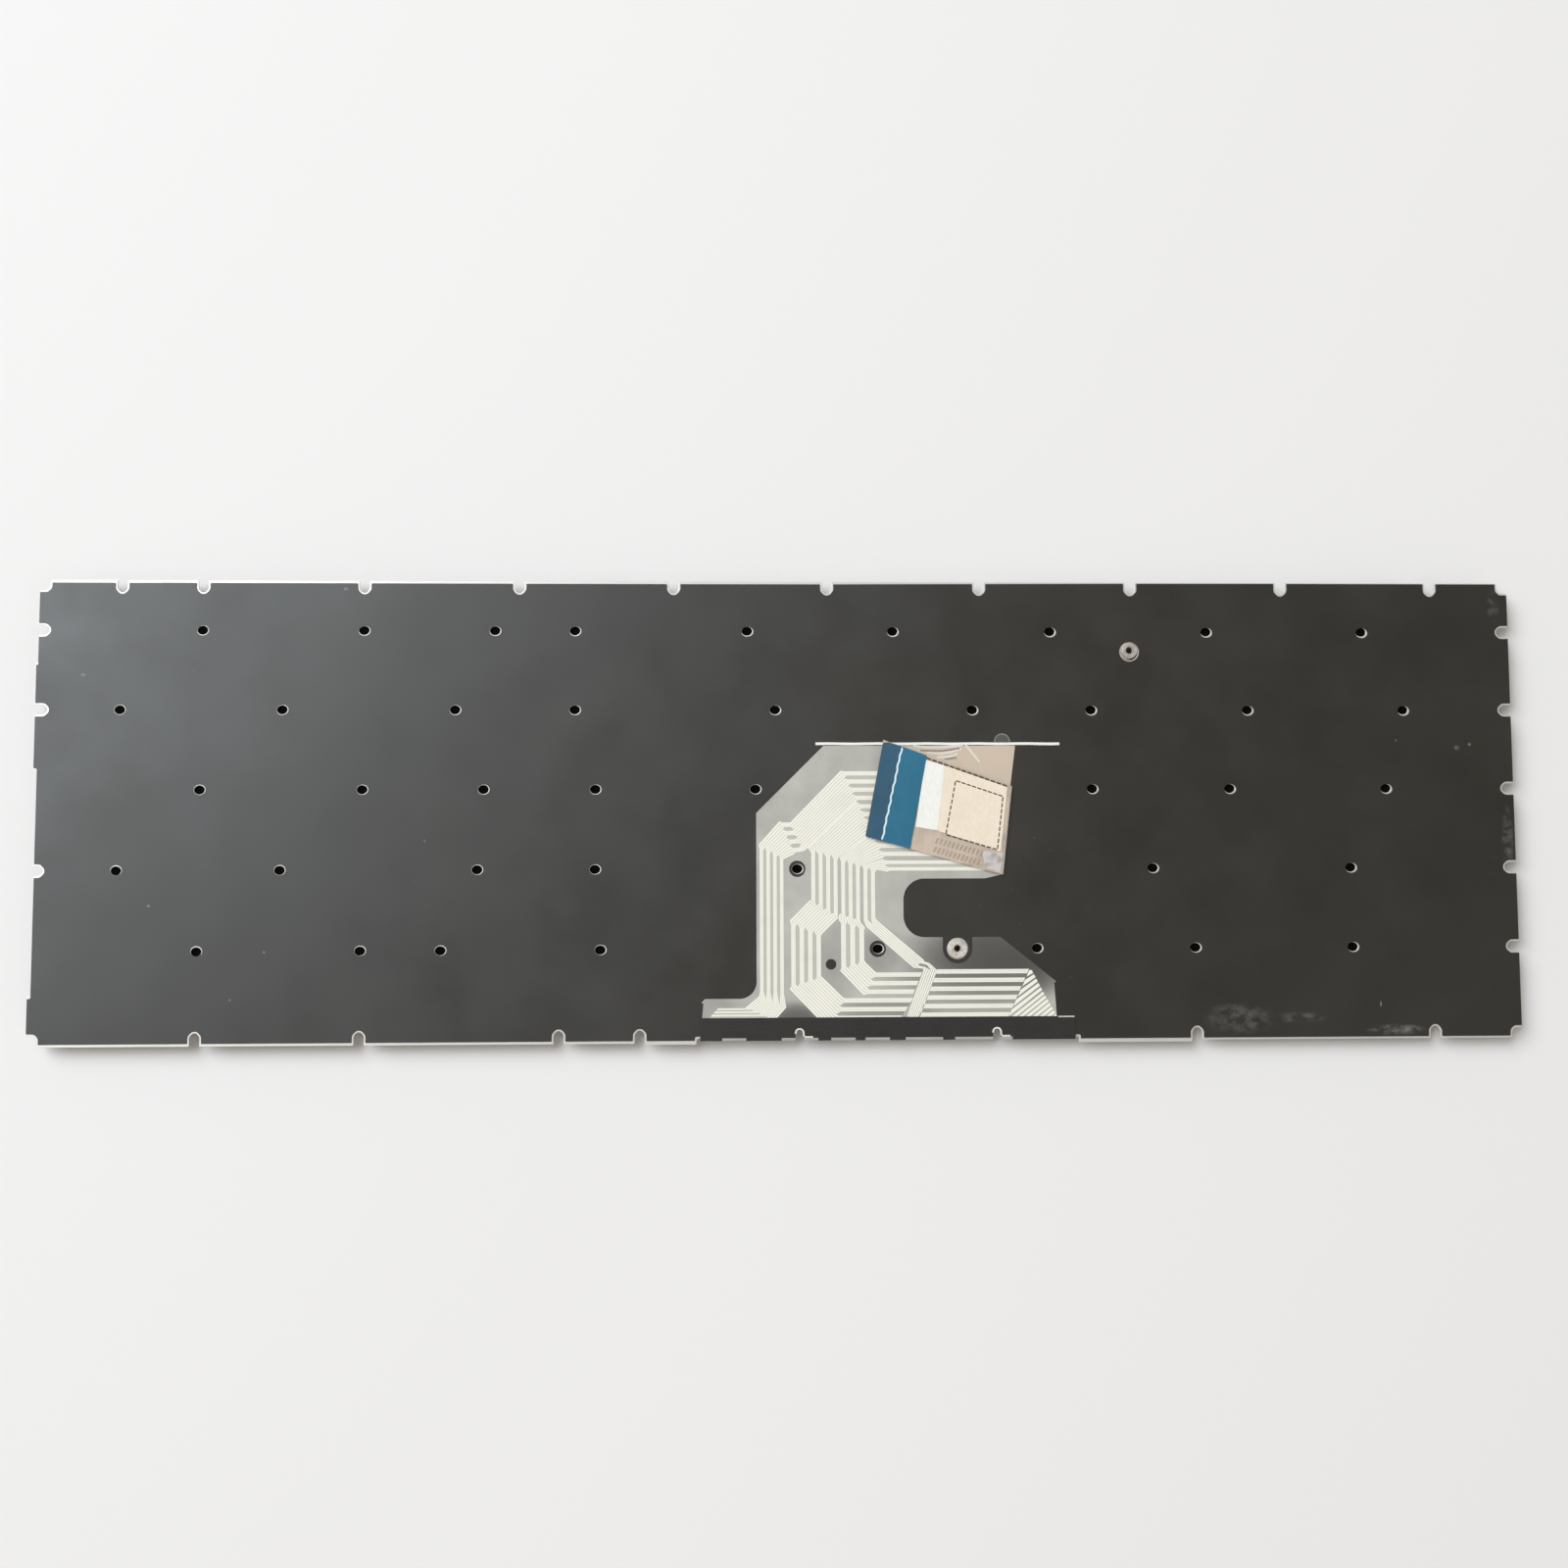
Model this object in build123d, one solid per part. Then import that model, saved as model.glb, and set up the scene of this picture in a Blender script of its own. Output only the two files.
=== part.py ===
"""Laptop replacement keyboard, lying face down on its keycaps with its back upwards.

+X runs to the typist's left and +Y to the far edge, as the back is seen from above. The origin is
under the middle of the support plate, on the surface that the keycaps rest on.
"""
import os
from collections import namedtuple
from math import asin, atan2, degrees, hypot

from build123d import *

# Key grid, in millimetres, and in key units of one pitch.
KEY_PITCH = 19.0
KEY_GAP = 3.0
ARROW_GAP = 1.0
BLOCK_UNITS = 14.5
NUMPAD_UNITS = 4
NUMBER_ROW_FIRST = 0.87
UPPER_ROW_FIRST = 1.36
HOME_ROW_FIRST = 1.61
LOWER_ROW_FIRST = 2.09
BOTTOM_ROW_FIRST = 1.07
SPACE_START = 4.09
SPACE_UNITS = 4.98
ARROW_START = 11.54
FUNCTION_KEYS = 15
FUNCTION_CAP_DEPTH = 8.8
STABILISED_UNITS = 1.6

# Keycaps.
CAP_HEIGHT = 1.7
CAP_TOP = 0.8
CAP_WALL = 0.9
CAP_TAPER = 0.5
KEY_TRAVEL = 1.5
SKIRT_CLEARANCE = 0.15

# Sheets, from the keys to the back.
LAYER_THICKNESS = 0.1
MEMBRANE_LAYERS = 3
TAIL_LAYERS = 2
PLATE_THICKNESS = 0.5
FILM_THICKNESS = 0.15
FILM_LEDGE = 0.4
MEMBRANE_INSET = 4.0
SIDE_MARGIN = 0.75
FUNCTION_ROW_DEPTH = 12.0
BOTTOM_MARGIN = 2.8
LIP_DEPTH = 0.45
LEFT_LIP_LENGTH = 13.0
RIGHT_LIP_LENGTH = 28.0
RECESS_DEPTH = 1.0
RECESS_MARGIN = 0.9
CORNER_CUT = 2.5
NOTCH_WIDTH = 2.4
NOTCH_DEPTH = 2.9
SPACE_NOTCH_UNITS = 6.61
CONTROL_NOTCH_UNITS = 11.05
ARROW_NOTCH_UNITS = 12.05
UPPER_LEFT_STEP = 0.4
LOWER_LEFT_STEP = 0.8
SHOULDER_RISE = 11.1
EAR_HEIGHT = 11.5

# Rivet holes and screw bosses.
RIVET_HOLE_RADIUS = 1.05
FILM_HOLE_RADIUS = 1.5
FILM_HOLE_SIDES = 6
MEMBRANE_WINDOW = 4.0
HOLE_SIDES = 8
NUMBER_ROW_RIVET_UNITS = 9.71
HOME_ROW_RIVET_UNITS = 13.0
LOWER_ROW_RIVET_UNITS = 13.07
BOSS_RADIUS = 2.35
BOSS_BORE_RADIUS = 0.75
BOSS_SHANK_RADIUS = 1.6
BOSS_FLANGE = 0.5
BOSS_FIT = 0.02
BOSS_FILM_RADIUS = 3.2
UPPER_BOSS_DROP = 4.8

# Domes, links and stabiliser bars under the caps.
DOME_BASE_RADIUS = 2.8
DOME_TOP_RADIUS = 1.7
DOME_SIDES = 5
SEAT_GAP = 0.1
LINK_THICKNESS = 0.6
LINK_LENGTH_SHARE = 0.6875
LINK_WIDTH_SHARE = 0.775
LINK_ARM = 1.1
LINK_CLEARANCE = 0.3
SPACE_LINK_OFFSET = 26.0
BAR_WIRE = 0.7
BAR_ARM = 7.0
BAR_END_CLEARANCE = 2.0

# Tail of the membrane, measured from the lower screw boss.
TAIL_FOOT_LEFT = -61.0
TAIL_FOOT_RIGHT = 23.7
TAIL_FOOT_TOP = -11.6
TAIL_FOOT_CHAMFER = 1.1
TAIL_STEM_LEFT = -47.7
TAIL_STEM_TOP = 32.3
TAIL_SHOULDER = -31.6
TAIL_TOP = 48.35
TAIL_TOP_RIGHT = 14.4
FOLD_TOP = Vector(13.1, 38.6)
FOLD_BOTTOM = Vector(10.7, 17.5)
TAIL_ARM_END = 6.7
TAIL_ARM_BOTTOM = 16.6
WINDOW_LEFT = -12.8
WINDOW_BOTTOM = 2.7
SHELF_RIGHT = 10.3
SHELF_DROP = 10.8
STEM_FILLET = 4.0
WINDOW_FILLET = 5.0
BOSS_NOTCH_RADIUS = 3.5
TAIL_HOLE_RADIUS = 2.0
SIGHT_HOLE = Vector(-30.1, -3.6)
SIGHT_HOLE_RADIUS = 1.3
BEND_CLEARANCE = 0.1

# Folded end of the tail and what is stuck to it.
FOLD_GAP = 0.5
FLAP_END_TOP = Vector(-17.3, 49.7)
FLAP_END_BOTTOM = Vector(-21.8, 26.65)
STIFFENER_LENGTH = 11.0
STIFFENER_THICKNESS = 0.25
LABEL_MARGIN = 0.4
LABEL_HEIGHT = 15.8
LABEL_THICKNESS = 0.1
COVER_TAPE_HEIGHT = 6.0
COVER_TAPE_OVERHANG = 4.1
TAPE_THICKNESS = 0.1
WHITE_STRIP_LEFT = -33.5
WHITE_STRIP_LENGTH = 58.6
WHITE_STRIP_WIDTH = 0.75
WHITE_STRIP_GAP = 0.1

# Heights above the surface that the keycaps rest on.
KEY_CAP = KEY_PITCH - KEY_GAP
LINK_LENGTH = LINK_LENGTH_SHARE * KEY_CAP
LINK_WIDTH = LINK_WIDTH_SHARE * KEY_CAP
MEMBRANE_THICKNESS = MEMBRANE_LAYERS * LAYER_THICKNESS
TAIL_THICKNESS = TAIL_LAYERS * LAYER_THICKNESS
Z_MEMBRANE = CAP_HEIGHT + KEY_TRAVEL + SKIRT_CLEARANCE
Z_PLATE = Z_MEMBRANE + MEMBRANE_THICKNESS
Z_FILM = Z_PLATE + PLATE_THICKNESS
Z_TAIL = Z_FILM + FILM_THICKNESS
Z_TAIL_BACK = Z_TAIL + TAIL_THICKNESS
Z_FLAP = Z_TAIL_BACK + FOLD_GAP
Z_FLAP_BACK = Z_FLAP + TAIL_THICKNESS

# Outline of the support plate.
ROW_LINES = 5
PLATE_WIDTH = (BLOCK_UNITS + NUMPAD_UNITS) * KEY_PITCH + 2 * SIDE_MARGIN
PLATE_HEIGHT = FUNCTION_ROW_DEPTH + ROW_LINES * KEY_PITCH + BOTTOM_MARGIN + LIP_DEPTH
LEFT = -PLATE_WIDTH / 2
RIGHT = PLATE_WIDTH / 2
TOP = PLATE_HEIGHT / 2
BOTTOM = -PLATE_HEIGHT / 2
BASE = BOTTOM + LIP_DEPTH
RECESS = BASE + RECESS_DEPTH

Key = namedtuple("Key", "name group x y width depth units")
LETTERS = set("abcdefghijklmnopqrstuvwxyz")
DIGITS = set("0123456789")
LARGE_KEYS = {"space", "enter", "backspace", "tab", "caps_lock", "left_shift", "right_shift"}
SPRUNG_KEYS = LETTERS | DIGITS | LARGE_KEYS


def typist_x(units):
    """X of a place so many key units from the typist's left end of the rows."""
    return RIGHT - SIDE_MARGIN - units * KEY_PITCH


def row_line(row):
    """Y of the line between two rows of keys; line 0 is under the function row."""
    return TOP - FUNCTION_ROW_DEPTH - row * KEY_PITCH


LOWER_BOSS = Vector(typist_x(LOWER_ROW_FIRST + 5), row_line(4))
UPPER_BOSS = Vector(typist_x(NUMBER_ROW_FIRST + 4), row_line(0) - UPPER_BOSS_DROP)


def key_cell(name, group, start, units, row, rows=1):
    """Key in a cell of the grid, under the given row line."""
    return Key(
        name,
        group,
        typist_x(start + units / 2),
        row_line(row) - rows * KEY_PITCH / 2,
        units * KEY_PITCH - KEY_GAP,
        rows * KEY_PITCH - KEY_GAP,
        max(units, rows),
    )


def function_row():
    """Low keys above the typing block and the number pad."""
    unit = BLOCK_UNITS / FUNCTION_KEYS
    cells = [(i * unit, unit) for i in range(FUNCTION_KEYS)]
    cells += [(BLOCK_UNITS + i, 1) for i in range(NUMPAD_UNITS)]
    y = row_line(0) + (KEY_GAP + FUNCTION_CAP_DEPTH) / 2
    return [
        Key(
            f"function_{i}",
            "function_row_keycaps",
            typist_x(start + units / 2),
            y,
            units * KEY_PITCH - KEY_GAP,
            FUNCTION_CAP_DEPTH,
            units,
        )
        for i, (start, units) in enumerate(cells)
    ]


def typing_row(row, first_units, names):
    """Row of one-unit keys between a wide first key and a last key that fills the row."""
    starts = [0] + [first_units + i for i in range(len(names) - 1)]
    ends = starts[1:] + [BLOCK_UNITS]
    return [
        key_cell(name, "symbol_keycaps", start, end - start, row)
        for name, start, end in zip(names, starts, ends)
    ]


def bottom_row():
    """Modifier keys on both sides of the space bar, and the arrow keys."""
    row = 4
    space_end = SPACE_START + SPACE_UNITS
    inner = (SPACE_START - BOTTOM_ROW_FIRST) / 3
    arrow = (BLOCK_UNITS - ARROW_START) / 3
    keys = [key_cell("left_control", "modifier_keycaps", 0, BOTTOM_ROW_FIRST, row)]
    for i, name in enumerate(("function", "system", "left_alt")):
        keys.append(key_cell(name, "modifier_keycaps", BOTTOM_ROW_FIRST + i * inner, inner, row))
    keys.append(key_cell("space", "symbol_keycaps", SPACE_START, SPACE_UNITS, row))
    keys.append(key_cell("right_alt", "modifier_keycaps", space_end, 1, row))
    last_start = space_end + 1
    last_units = ARROW_START - last_start
    keys.append(key_cell("right_control", "modifier_keycaps", last_start, last_units, row))
    left, middle, right = [
        key_cell(name, "arrow_keycaps", ARROW_START + i * arrow, arrow, row)
        for i, name in enumerate(("arrow_left", "arrow_up", "arrow_right"))
    ]
    half = (middle.depth - ARROW_GAP) / 2
    shift = (half + ARROW_GAP) / 2
    up = middle._replace(y=middle.y + shift, depth=half)
    down = middle._replace(name="arrow_down", y=middle.y - shift, depth=half)
    return keys + [left, up, down, right]


def number_pad():
    """Four columns of keys, with two tall keys in the last column and a wide zero."""
    group = "numpad_keycaps"
    keys = [key_cell(f"pad_top_{i}", group, BLOCK_UNITS + i, 1, 0) for i in range(NUMPAD_UNITS)]
    for row in (1, 2, 3):
        keys += [key_cell(f"pad_{row}_{i}", group, BLOCK_UNITS + i, 1, row) for i in range(3)]
    keys.append(key_cell("pad_plus", group, BLOCK_UNITS + 3, 1, 1, rows=2))
    keys.append(key_cell("pad_enter", group, BLOCK_UNITS + 3, 1, 3, rows=2))
    keys.append(key_cell("pad_zero", group, BLOCK_UNITS, 2, 4))
    keys.append(key_cell("pad_point", group, BLOCK_UNITS + 2, 1, 4))
    return keys


def all_keys():
    """Every key of the board."""
    keys = function_row()
    keys += typing_row(0, NUMBER_ROW_FIRST, ["grave", *"1234567890", "minus", "equals", "backspace"])
    keys += typing_row(1, UPPER_ROW_FIRST, ["tab", *"qwertyuiop", "bracket", "brace", "backslash"])
    keys += typing_row(2, HOME_ROW_FIRST, ["caps_lock", *"asdfghjkl", "semicolon", "quote", "enter"])
    keys += typing_row(
        3, LOWER_ROW_FIRST, ["left_shift", *"zxcvbnm", "comma", "period", "slash", "right_shift"]
    )
    return keys + bottom_row() + number_pad()


def keycap(key):
    """Hollow cap with sloping sides, its finger face down."""
    slope = degrees(atan2(CAP_TAPER, CAP_HEIGHT))
    block = extrude(Rectangle(key.width, key.depth), CAP_HEIGHT, taper=slope)
    pocket = Rectangle(key.width - 2 * CAP_WALL, key.depth - 2 * CAP_WALL)
    hollow = extrude(pocket, CAP_HEIGHT - CAP_TOP)
    return Pos(key.x, key.y, CAP_HEIGHT) * Rot(180, 0, 0) * (block - hollow)


def rubber_dome(key):
    """Dome between the membrane and the roof of its cap."""
    height = Z_MEMBRANE - CAP_TOP
    slope = degrees(atan2(DOME_BASE_RADIUS - DOME_TOP_RADIUS, height))
    base = RegularPolygon(DOME_BASE_RADIUS, DOME_SIDES, major_radius=False)
    dome = extrude(base, height, taper=slope)
    return Pos(key.x, key.y, Z_MEMBRANE) * Rot(180, 0, 0) * dome


def leaning(frame, length, thickness):
    """Flat frame, tilted about X so that it just fits between a cap's roof and the membrane.

    Its end at +Y is by the cap, and its end at -Y by the membrane.
    """
    room = Z_MEMBRANE - CAP_TOP - 2 * SEAT_GAP
    lean = degrees(asin(room / hypot(length, thickness)) - atan2(thickness, length))
    middle = (Z_MEMBRANE + CAP_TOP) / 2
    return Pos(0, 0, middle) * Rot(-lean, 0, 0) * extrude(frame, thickness / 2, both=True)


def outer_link():
    """Outer scissor link: two arms that lean up from the plate to a cross bar under the cap."""
    gap = Pos(0, -LINK_ARM) * Rectangle(LINK_WIDTH - 2 * LINK_ARM, LINK_LENGTH)
    return leaning(Rectangle(LINK_WIDTH, LINK_LENGTH) - gap, LINK_LENGTH, LINK_THICKNESS)


def inner_link():
    """Inner scissor link: a closed frame that leans the other way inside the outer one."""
    width = LINK_WIDTH - 2 * (LINK_ARM + LINK_CLEARANCE)
    gap = Rectangle(width - 2 * LINK_ARM, LINK_LENGTH - 2 * LINK_ARM)
    frame = leaning(Rectangle(width, LINK_LENGTH) - gap, LINK_LENGTH, LINK_THICKNESS)
    return Rot(0, 0, 180) * frame


def scissor_places(keys):
    """Middles of the scissor pairs: one under each sprung key, two under the space bar."""
    places = []
    for key in keys:
        offsets = (-SPACE_LINK_OFFSET, SPACE_LINK_OFFSET) if key.name == "space" else (0,)
        places += [Pos(key.x + offset, key.y) for offset in offsets]
    return places


def stabiliser_bar(key):
    """Bent wire along the longer side of a wide or tall cap."""
    tall = key.depth > key.width
    long_side, short_side = sorted((key.width, key.depth), reverse=True)
    span = long_side - 2 * (CAP_WALL + BAR_END_CLEARANCE)
    loop = Rectangle(span, BAR_ARM)
    gap = Pos(0, -BAR_WIRE) * Rectangle(span - 2 * BAR_WIRE, BAR_ARM)
    bar = leaning(loop - gap, BAR_ARM, BAR_WIRE)
    reach = short_side / 2 - CAP_WALL - LINK_CLEARANCE - BAR_ARM / 2
    return Pos(key.x, key.y) * Rot(0, 0, 90 if tall else 0) * Pos(0, reach) * bar


def area(x0, x1, y0, y1):
    """Rectangle given by its sides."""
    return Pos((x0 + x1) / 2, (y0 + y1) / 2) * Rectangle(x1 - x0, y1 - y0)


def edge_notch(width, depth):
    """Notch with cut corners, open towards +Y, its mouth on the X axis."""
    slope = width / 3
    mouth = NOTCH_DEPTH
    return make_face(
        Polyline(
            (-width / 2, mouth),
            (-width / 2, slope - depth),
            (slope - width / 2, -depth),
            (width / 2 - slope, -depth),
            (width / 2, slope - depth),
            (width / 2, mouth),
            close=True,
        )
    )


def corner_cut(size):
    """Corner cut-out with a bevelled inner corner, for the corner at +X +Y."""
    slope = size / 3
    return make_face(
        Polyline(
            (-size, size), (-size, slope - size), (slope - size, -size), (size, -size), (size, size),
            close=True,
        )
    )


def notch_places():
    """Places of the notches along the edges, each turned to open outwards."""
    function_unit = BLOCK_UNITS / FUNCTION_KEYS
    top = [typist_x(i * function_unit) for i in range(1, FUNCTION_KEYS, 2)]
    top += [typist_x(BLOCK_UNITS + i) for i in (0, 2, 3)]
    lower = (
        BOTTOM_ROW_FIRST,
        SPACE_START,
        SPACE_NOTCH_UNITS,
        SPACE_START + SPACE_UNITS,
        CONTROL_NOTCH_UNITS,
        ARROW_NOTCH_UNITS,
        BLOCK_UNITS,
        BLOCK_UNITS + 2,
    )
    places = [Pos(x, TOP) for x in top]
    places += [Pos(typist_x(units), BASE) * Rot(0, 0, 180) for units in lower]
    places += [Pos(RIGHT, row_line(row)) * Rot(0, 0, -90) for row in range(ROW_LINES)]
    places += [Pos(LEFT, row_line(row)) * Rot(0, 0, 90) for row in (0, 1, 3)]
    return places


def recess_ends():
    """Ends of the recess that the tail comes round, in the lower edge."""
    left = LOWER_BOSS.X + TAIL_FOOT_LEFT - RECESS_MARGIN
    right = LOWER_BOSS.X + TAIL_FOOT_RIGHT + COVER_TAPE_OVERHANG + RECESS_MARGIN
    return left, right


def edge_lips():
    """Lips of bare steel on the lower edge, one at each end of the recess."""
    left, right = recess_ends()
    left_lip = area(left - LEFT_LIP_LENGTH, left, BOTTOM, RECESS)
    right_lip = area(right, right + RIGHT_LIP_LENGTH, BOTTOM, RECESS)
    return left_lip + right_lip


def sheet_outline(inset, lips=None):
    """Outline of the plate with its lips, or of the film, which is drawn in by a ledge."""
    body = area(LEFT + inset, RIGHT - inset, BASE + inset, TOP - inset)
    if lips:
        body += lips
    recess_left, recess_right = recess_ends()
    cuts = [area(recess_left - inset, recess_right + inset, BOTTOM, RECESS + inset)]
    shoulder = row_line(1) + SHOULDER_RISE
    waist = row_line(2) + KEY_PITCH / 4
    cuts.append(area(LEFT, LEFT + UPPER_LEFT_STEP + inset, shoulder - inset, TOP))
    cuts.append(area(LEFT, LEFT + LOWER_LEFT_STEP + inset, BASE + EAR_HEIGHT - inset, waist + inset))
    notch = edge_notch(NOTCH_WIDTH + 2 * inset, NOTCH_DEPTH + inset)
    cuts += [place * notch for place in notch_places()]
    corner = corner_cut(CORNER_CUT + inset)
    cuts.append(Pos(RIGHT, TOP) * corner)
    cuts.append(Pos(LEFT + UPPER_LEFT_STEP, TOP) * Rot(0, 0, 90) * corner)
    cuts.append(Pos(LEFT, BASE) * Rot(0, 0, 180) * corner)
    cuts.append(Pos(RIGHT, BASE) * Rot(0, 0, -90) * corner)
    return body - cuts


def rivet_rows():
    """Places of the rivet holes on each row line, from the typist's left to right."""
    number = NUMBER_ROW_FIRST
    upper = UPPER_ROW_FIRST
    home = HOME_ROW_FIRST
    lower = LOWER_ROW_FIRST
    pad = BLOCK_UNITS
    right_arrow = BLOCK_UNITS - (BLOCK_UNITS - ARROW_START) / 3
    number_line = [number + i for i in (1, 3, 5, 7, 11, 12)] + [NUMBER_ROW_RIVET_UNITS]
    units = (
        (*sorted(number_line), pad, pad + 2),
        (upper, upper + 2, upper + 4, number + 6, upper + 8, number + 11, upper + 12, pad + 1, pad + 3),
        (home, home + 2, upper + 4, home + 8, home + 10, HOME_ROW_RIVET_UNITS, pad, pad + 2),
        (lower, home + 3, lower + 7, home + 10, LOWER_ROW_RIVET_UNITS, pad + 1, pad + 3),
        (lower, lower + 2, lower + 4, lower + 6, ARROW_START, right_arrow, pad, pad + 2),
    )
    return [[Vector(typist_x(u), row_line(row)) for u in line] for row, line in enumerate(units)]


def locating_holes():
    """End holes of the first and last rows, which are cut truly round."""
    rows = rivet_rows()
    return [rows[0][0], rows[0][-1], rows[-1][0], rows[-1][-1]]


def rivet_holes():
    """All the rivet holes."""
    return [hole for row in rivet_rows() for hole in row]


def support_plate():
    """Steel sheet that carries the keys."""
    round_ones = locating_holes()
    cuts = [Pos(*p) * Circle(RIVET_HOLE_RADIUS) for p in round_ones]
    for place in rivet_holes():
        if place not in round_ones:
            cuts.append(Pos(*place) * RegularPolygon(RIVET_HOLE_RADIUS, HOLE_SIDES))
    shank_hole = RegularPolygon(BOSS_SHANK_RADIUS + BOSS_FIT, HOLE_SIDES)
    cuts += [Pos(*p) * shank_hole for p in (UPPER_BOSS, LOWER_BOSS)]
    return extrude(Pos(0, 0, Z_PLATE) * (sheet_outline(0, edge_lips()) - cuts), PLATE_THICKNESS)


def back_film():
    """Black film stuck to the back of the plate."""
    cuts = [Pos(*p) * RegularPolygon(FILM_HOLE_RADIUS, FILM_HOLE_SIDES) for p in rivet_holes()]
    cuts += [Pos(*p) * Circle(BOSS_FILM_RADIUS) for p in (UPPER_BOSS, LOWER_BOSS)]
    return extrude(Pos(0, 0, Z_FILM) * (sheet_outline(FILM_LEDGE) - cuts), FILM_THICKNESS)


def screw_boss(place):
    """Insert with an eight-sided shank in the plate, a round flange and a threaded bore."""
    shank = Pos(place.X, place.Y, Z_PLATE) * RegularPolygon(BOSS_SHANK_RADIUS, HOLE_SIDES)
    shank = extrude(shank, PLATE_THICKNESS)
    flange = extrude(Pos(place.X, place.Y, Z_FILM) * Circle(BOSS_RADIUS), BOSS_FLANGE)
    bore = Pos(place.X, place.Y, Z_PLATE) * Circle(BOSS_BORE_RADIUS)
    return shank + flange - extrude(bore, PLATE_THICKNESS + BOSS_FLANGE)


def from_boss(x, y):
    """Point given from the lower screw boss."""
    return Vector(LOWER_BOSS.X + x, LOWER_BOSS.Y + y)


def half_ring(start, end, outward, height, low):
    """Half-round bend along a line, joining two sheets of the tail's thickness.

    low is the underside of the lower sheet, and height is from there to the underside of the upper.
    """
    outer = (height + TAIL_THICKNESS) / 2
    inner = outer - TAIL_THICKNESS
    along = end - start
    middle = Vector(start.X, start.Y, low + outer)
    ring = Circle(outer) - Circle(inner) - area(-outer, 0, -outer, outer)
    return extrude(Plane(origin=middle, x_dir=outward, z_dir=along) * ring, along.length)


def tail_sheet():
    """Flat outline of the tail where it lies on the back."""
    bend_line = RECESS - BEND_CLEARANCE - LOWER_BOSS.Y
    outline = [
        (TAIL_FOOT_LEFT, bend_line),
        (TAIL_FOOT_LEFT, TAIL_FOOT_TOP - TAIL_FOOT_CHAMFER),
        (TAIL_FOOT_LEFT + TAIL_FOOT_CHAMFER, TAIL_FOOT_TOP),
        (TAIL_STEM_LEFT, TAIL_FOOT_TOP),
        (TAIL_STEM_LEFT, TAIL_STEM_TOP),
        (TAIL_SHOULDER, TAIL_TOP),
        (TAIL_TOP_RIGHT, TAIL_TOP),
        (FOLD_TOP.X, FOLD_TOP.Y),
        (FOLD_BOTTOM.X, FOLD_BOTTOM.Y),
        (TAIL_ARM_END, TAIL_ARM_BOTTOM),
        (WINDOW_LEFT, TAIL_ARM_BOTTOM),
        (WINDOW_LEFT, WINDOW_BOTTOM),
        (SHELF_RIGHT, WINDOW_BOTTOM),
        (TAIL_FOOT_RIGHT, WINDOW_BOTTOM - SHELF_DROP),
        (TAIL_FOOT_RIGHT, bend_line),
    ]
    sheet = make_face(Polyline(*outline, close=True))
    stem_corner = sheet.vertices().sort_by_distance((TAIL_STEM_LEFT, TAIL_FOOT_TOP))[:1]
    sheet = fillet(stem_corner, STEM_FILLET)
    for y in (TAIL_ARM_BOTTOM, WINDOW_BOTTOM):
        sheet = fillet(sheet.vertices().sort_by_distance((WINDOW_LEFT, y))[:1], WINDOW_FILLET)
    notch = area(-BOSS_NOTCH_RADIUS, BOSS_NOTCH_RADIUS, 0, WINDOW_BOTTOM)
    cuts = [Circle(BOSS_NOTCH_RADIUS), notch]
    cuts.append(Pos(SIGHT_HOLE.X, SIGHT_HOLE.Y) * RegularPolygon(SIGHT_HOLE_RADIUS, HOLE_SIDES))
    rows = rivet_rows()
    for hole in (rows[3][2], rows[4][3]):
        cuts.append(Pos(*(hole - LOWER_BOSS)) * RegularPolygon(TAIL_HOLE_RADIUS, HOLE_SIDES))
    return Pos(*LOWER_BOSS) * (sheet - cuts)


def quad(*points):
    """Face with four corners, given from the lower screw boss."""
    return make_face(Polyline(*[from_boss(p.X, p.Y) for p in points], close=True))


def toward(start, end, distance):
    """Point at a distance from start on the way to end."""
    return start + (end - start).normalized() * distance


def membrane_circuit():
    """Membrane under the keys, with its tail bent round the edge and folded over once."""
    sheet = area(
        LEFT + MEMBRANE_INSET, RIGHT - MEMBRANE_INSET, BASE + MEMBRANE_INSET, TOP - MEMBRANE_INSET
    )
    window = Rectangle(MEMBRANE_WINDOW, MEMBRANE_WINDOW)
    boss_window = Rectangle(2 * BOSS_FILM_RADIUS, 2 * BOSS_FILM_RADIUS)
    cuts = [Pos(*p) * window for p in rivet_holes()]
    cuts += [Pos(*p) * boss_window for p in (UPPER_BOSS, LOWER_BOSS)]
    sheet = extrude(Pos(0, 0, Z_MEMBRANE) * (sheet - cuts), MEMBRANE_THICKNESS)
    bend_y = RECESS - BEND_CLEARANCE
    foot_left = Vector(LOWER_BOSS.X + TAIL_FOOT_LEFT, bend_y)
    foot_right = Vector(LOWER_BOSS.X + TAIL_FOOT_RIGHT, bend_y)
    neck = area(foot_left.X, foot_right.X, bend_y, BASE + MEMBRANE_INSET)
    neck = extrude(Pos(0, 0, Z_MEMBRANE) * neck, TAIL_THICKNESS)
    bend = half_ring(foot_left, foot_right, Vector(0, -1, 0), Z_TAIL - Z_MEMBRANE, Z_MEMBRANE)
    tail = extrude(Pos(0, 0, Z_TAIL) * tail_sheet(), TAIL_THICKNESS)
    fold_start = from_boss(FOLD_BOTTOM.X, FOLD_BOTTOM.Y)
    fold_end = from_boss(FOLD_TOP.X, FOLD_TOP.Y)
    outward = (fold_end - fold_start).rotate(Axis.Z, -90)
    fold = half_ring(fold_start, fold_end, outward, Z_FLAP - Z_TAIL, Z_TAIL)
    flap = quad(FOLD_TOP, FLAP_END_TOP, FLAP_END_BOTTOM, FOLD_BOTTOM)
    flap = extrude(Pos(0, 0, Z_FLAP) * flap, TAIL_THICKNESS)
    return sheet + neck + bend + tail + fold + flap


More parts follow.
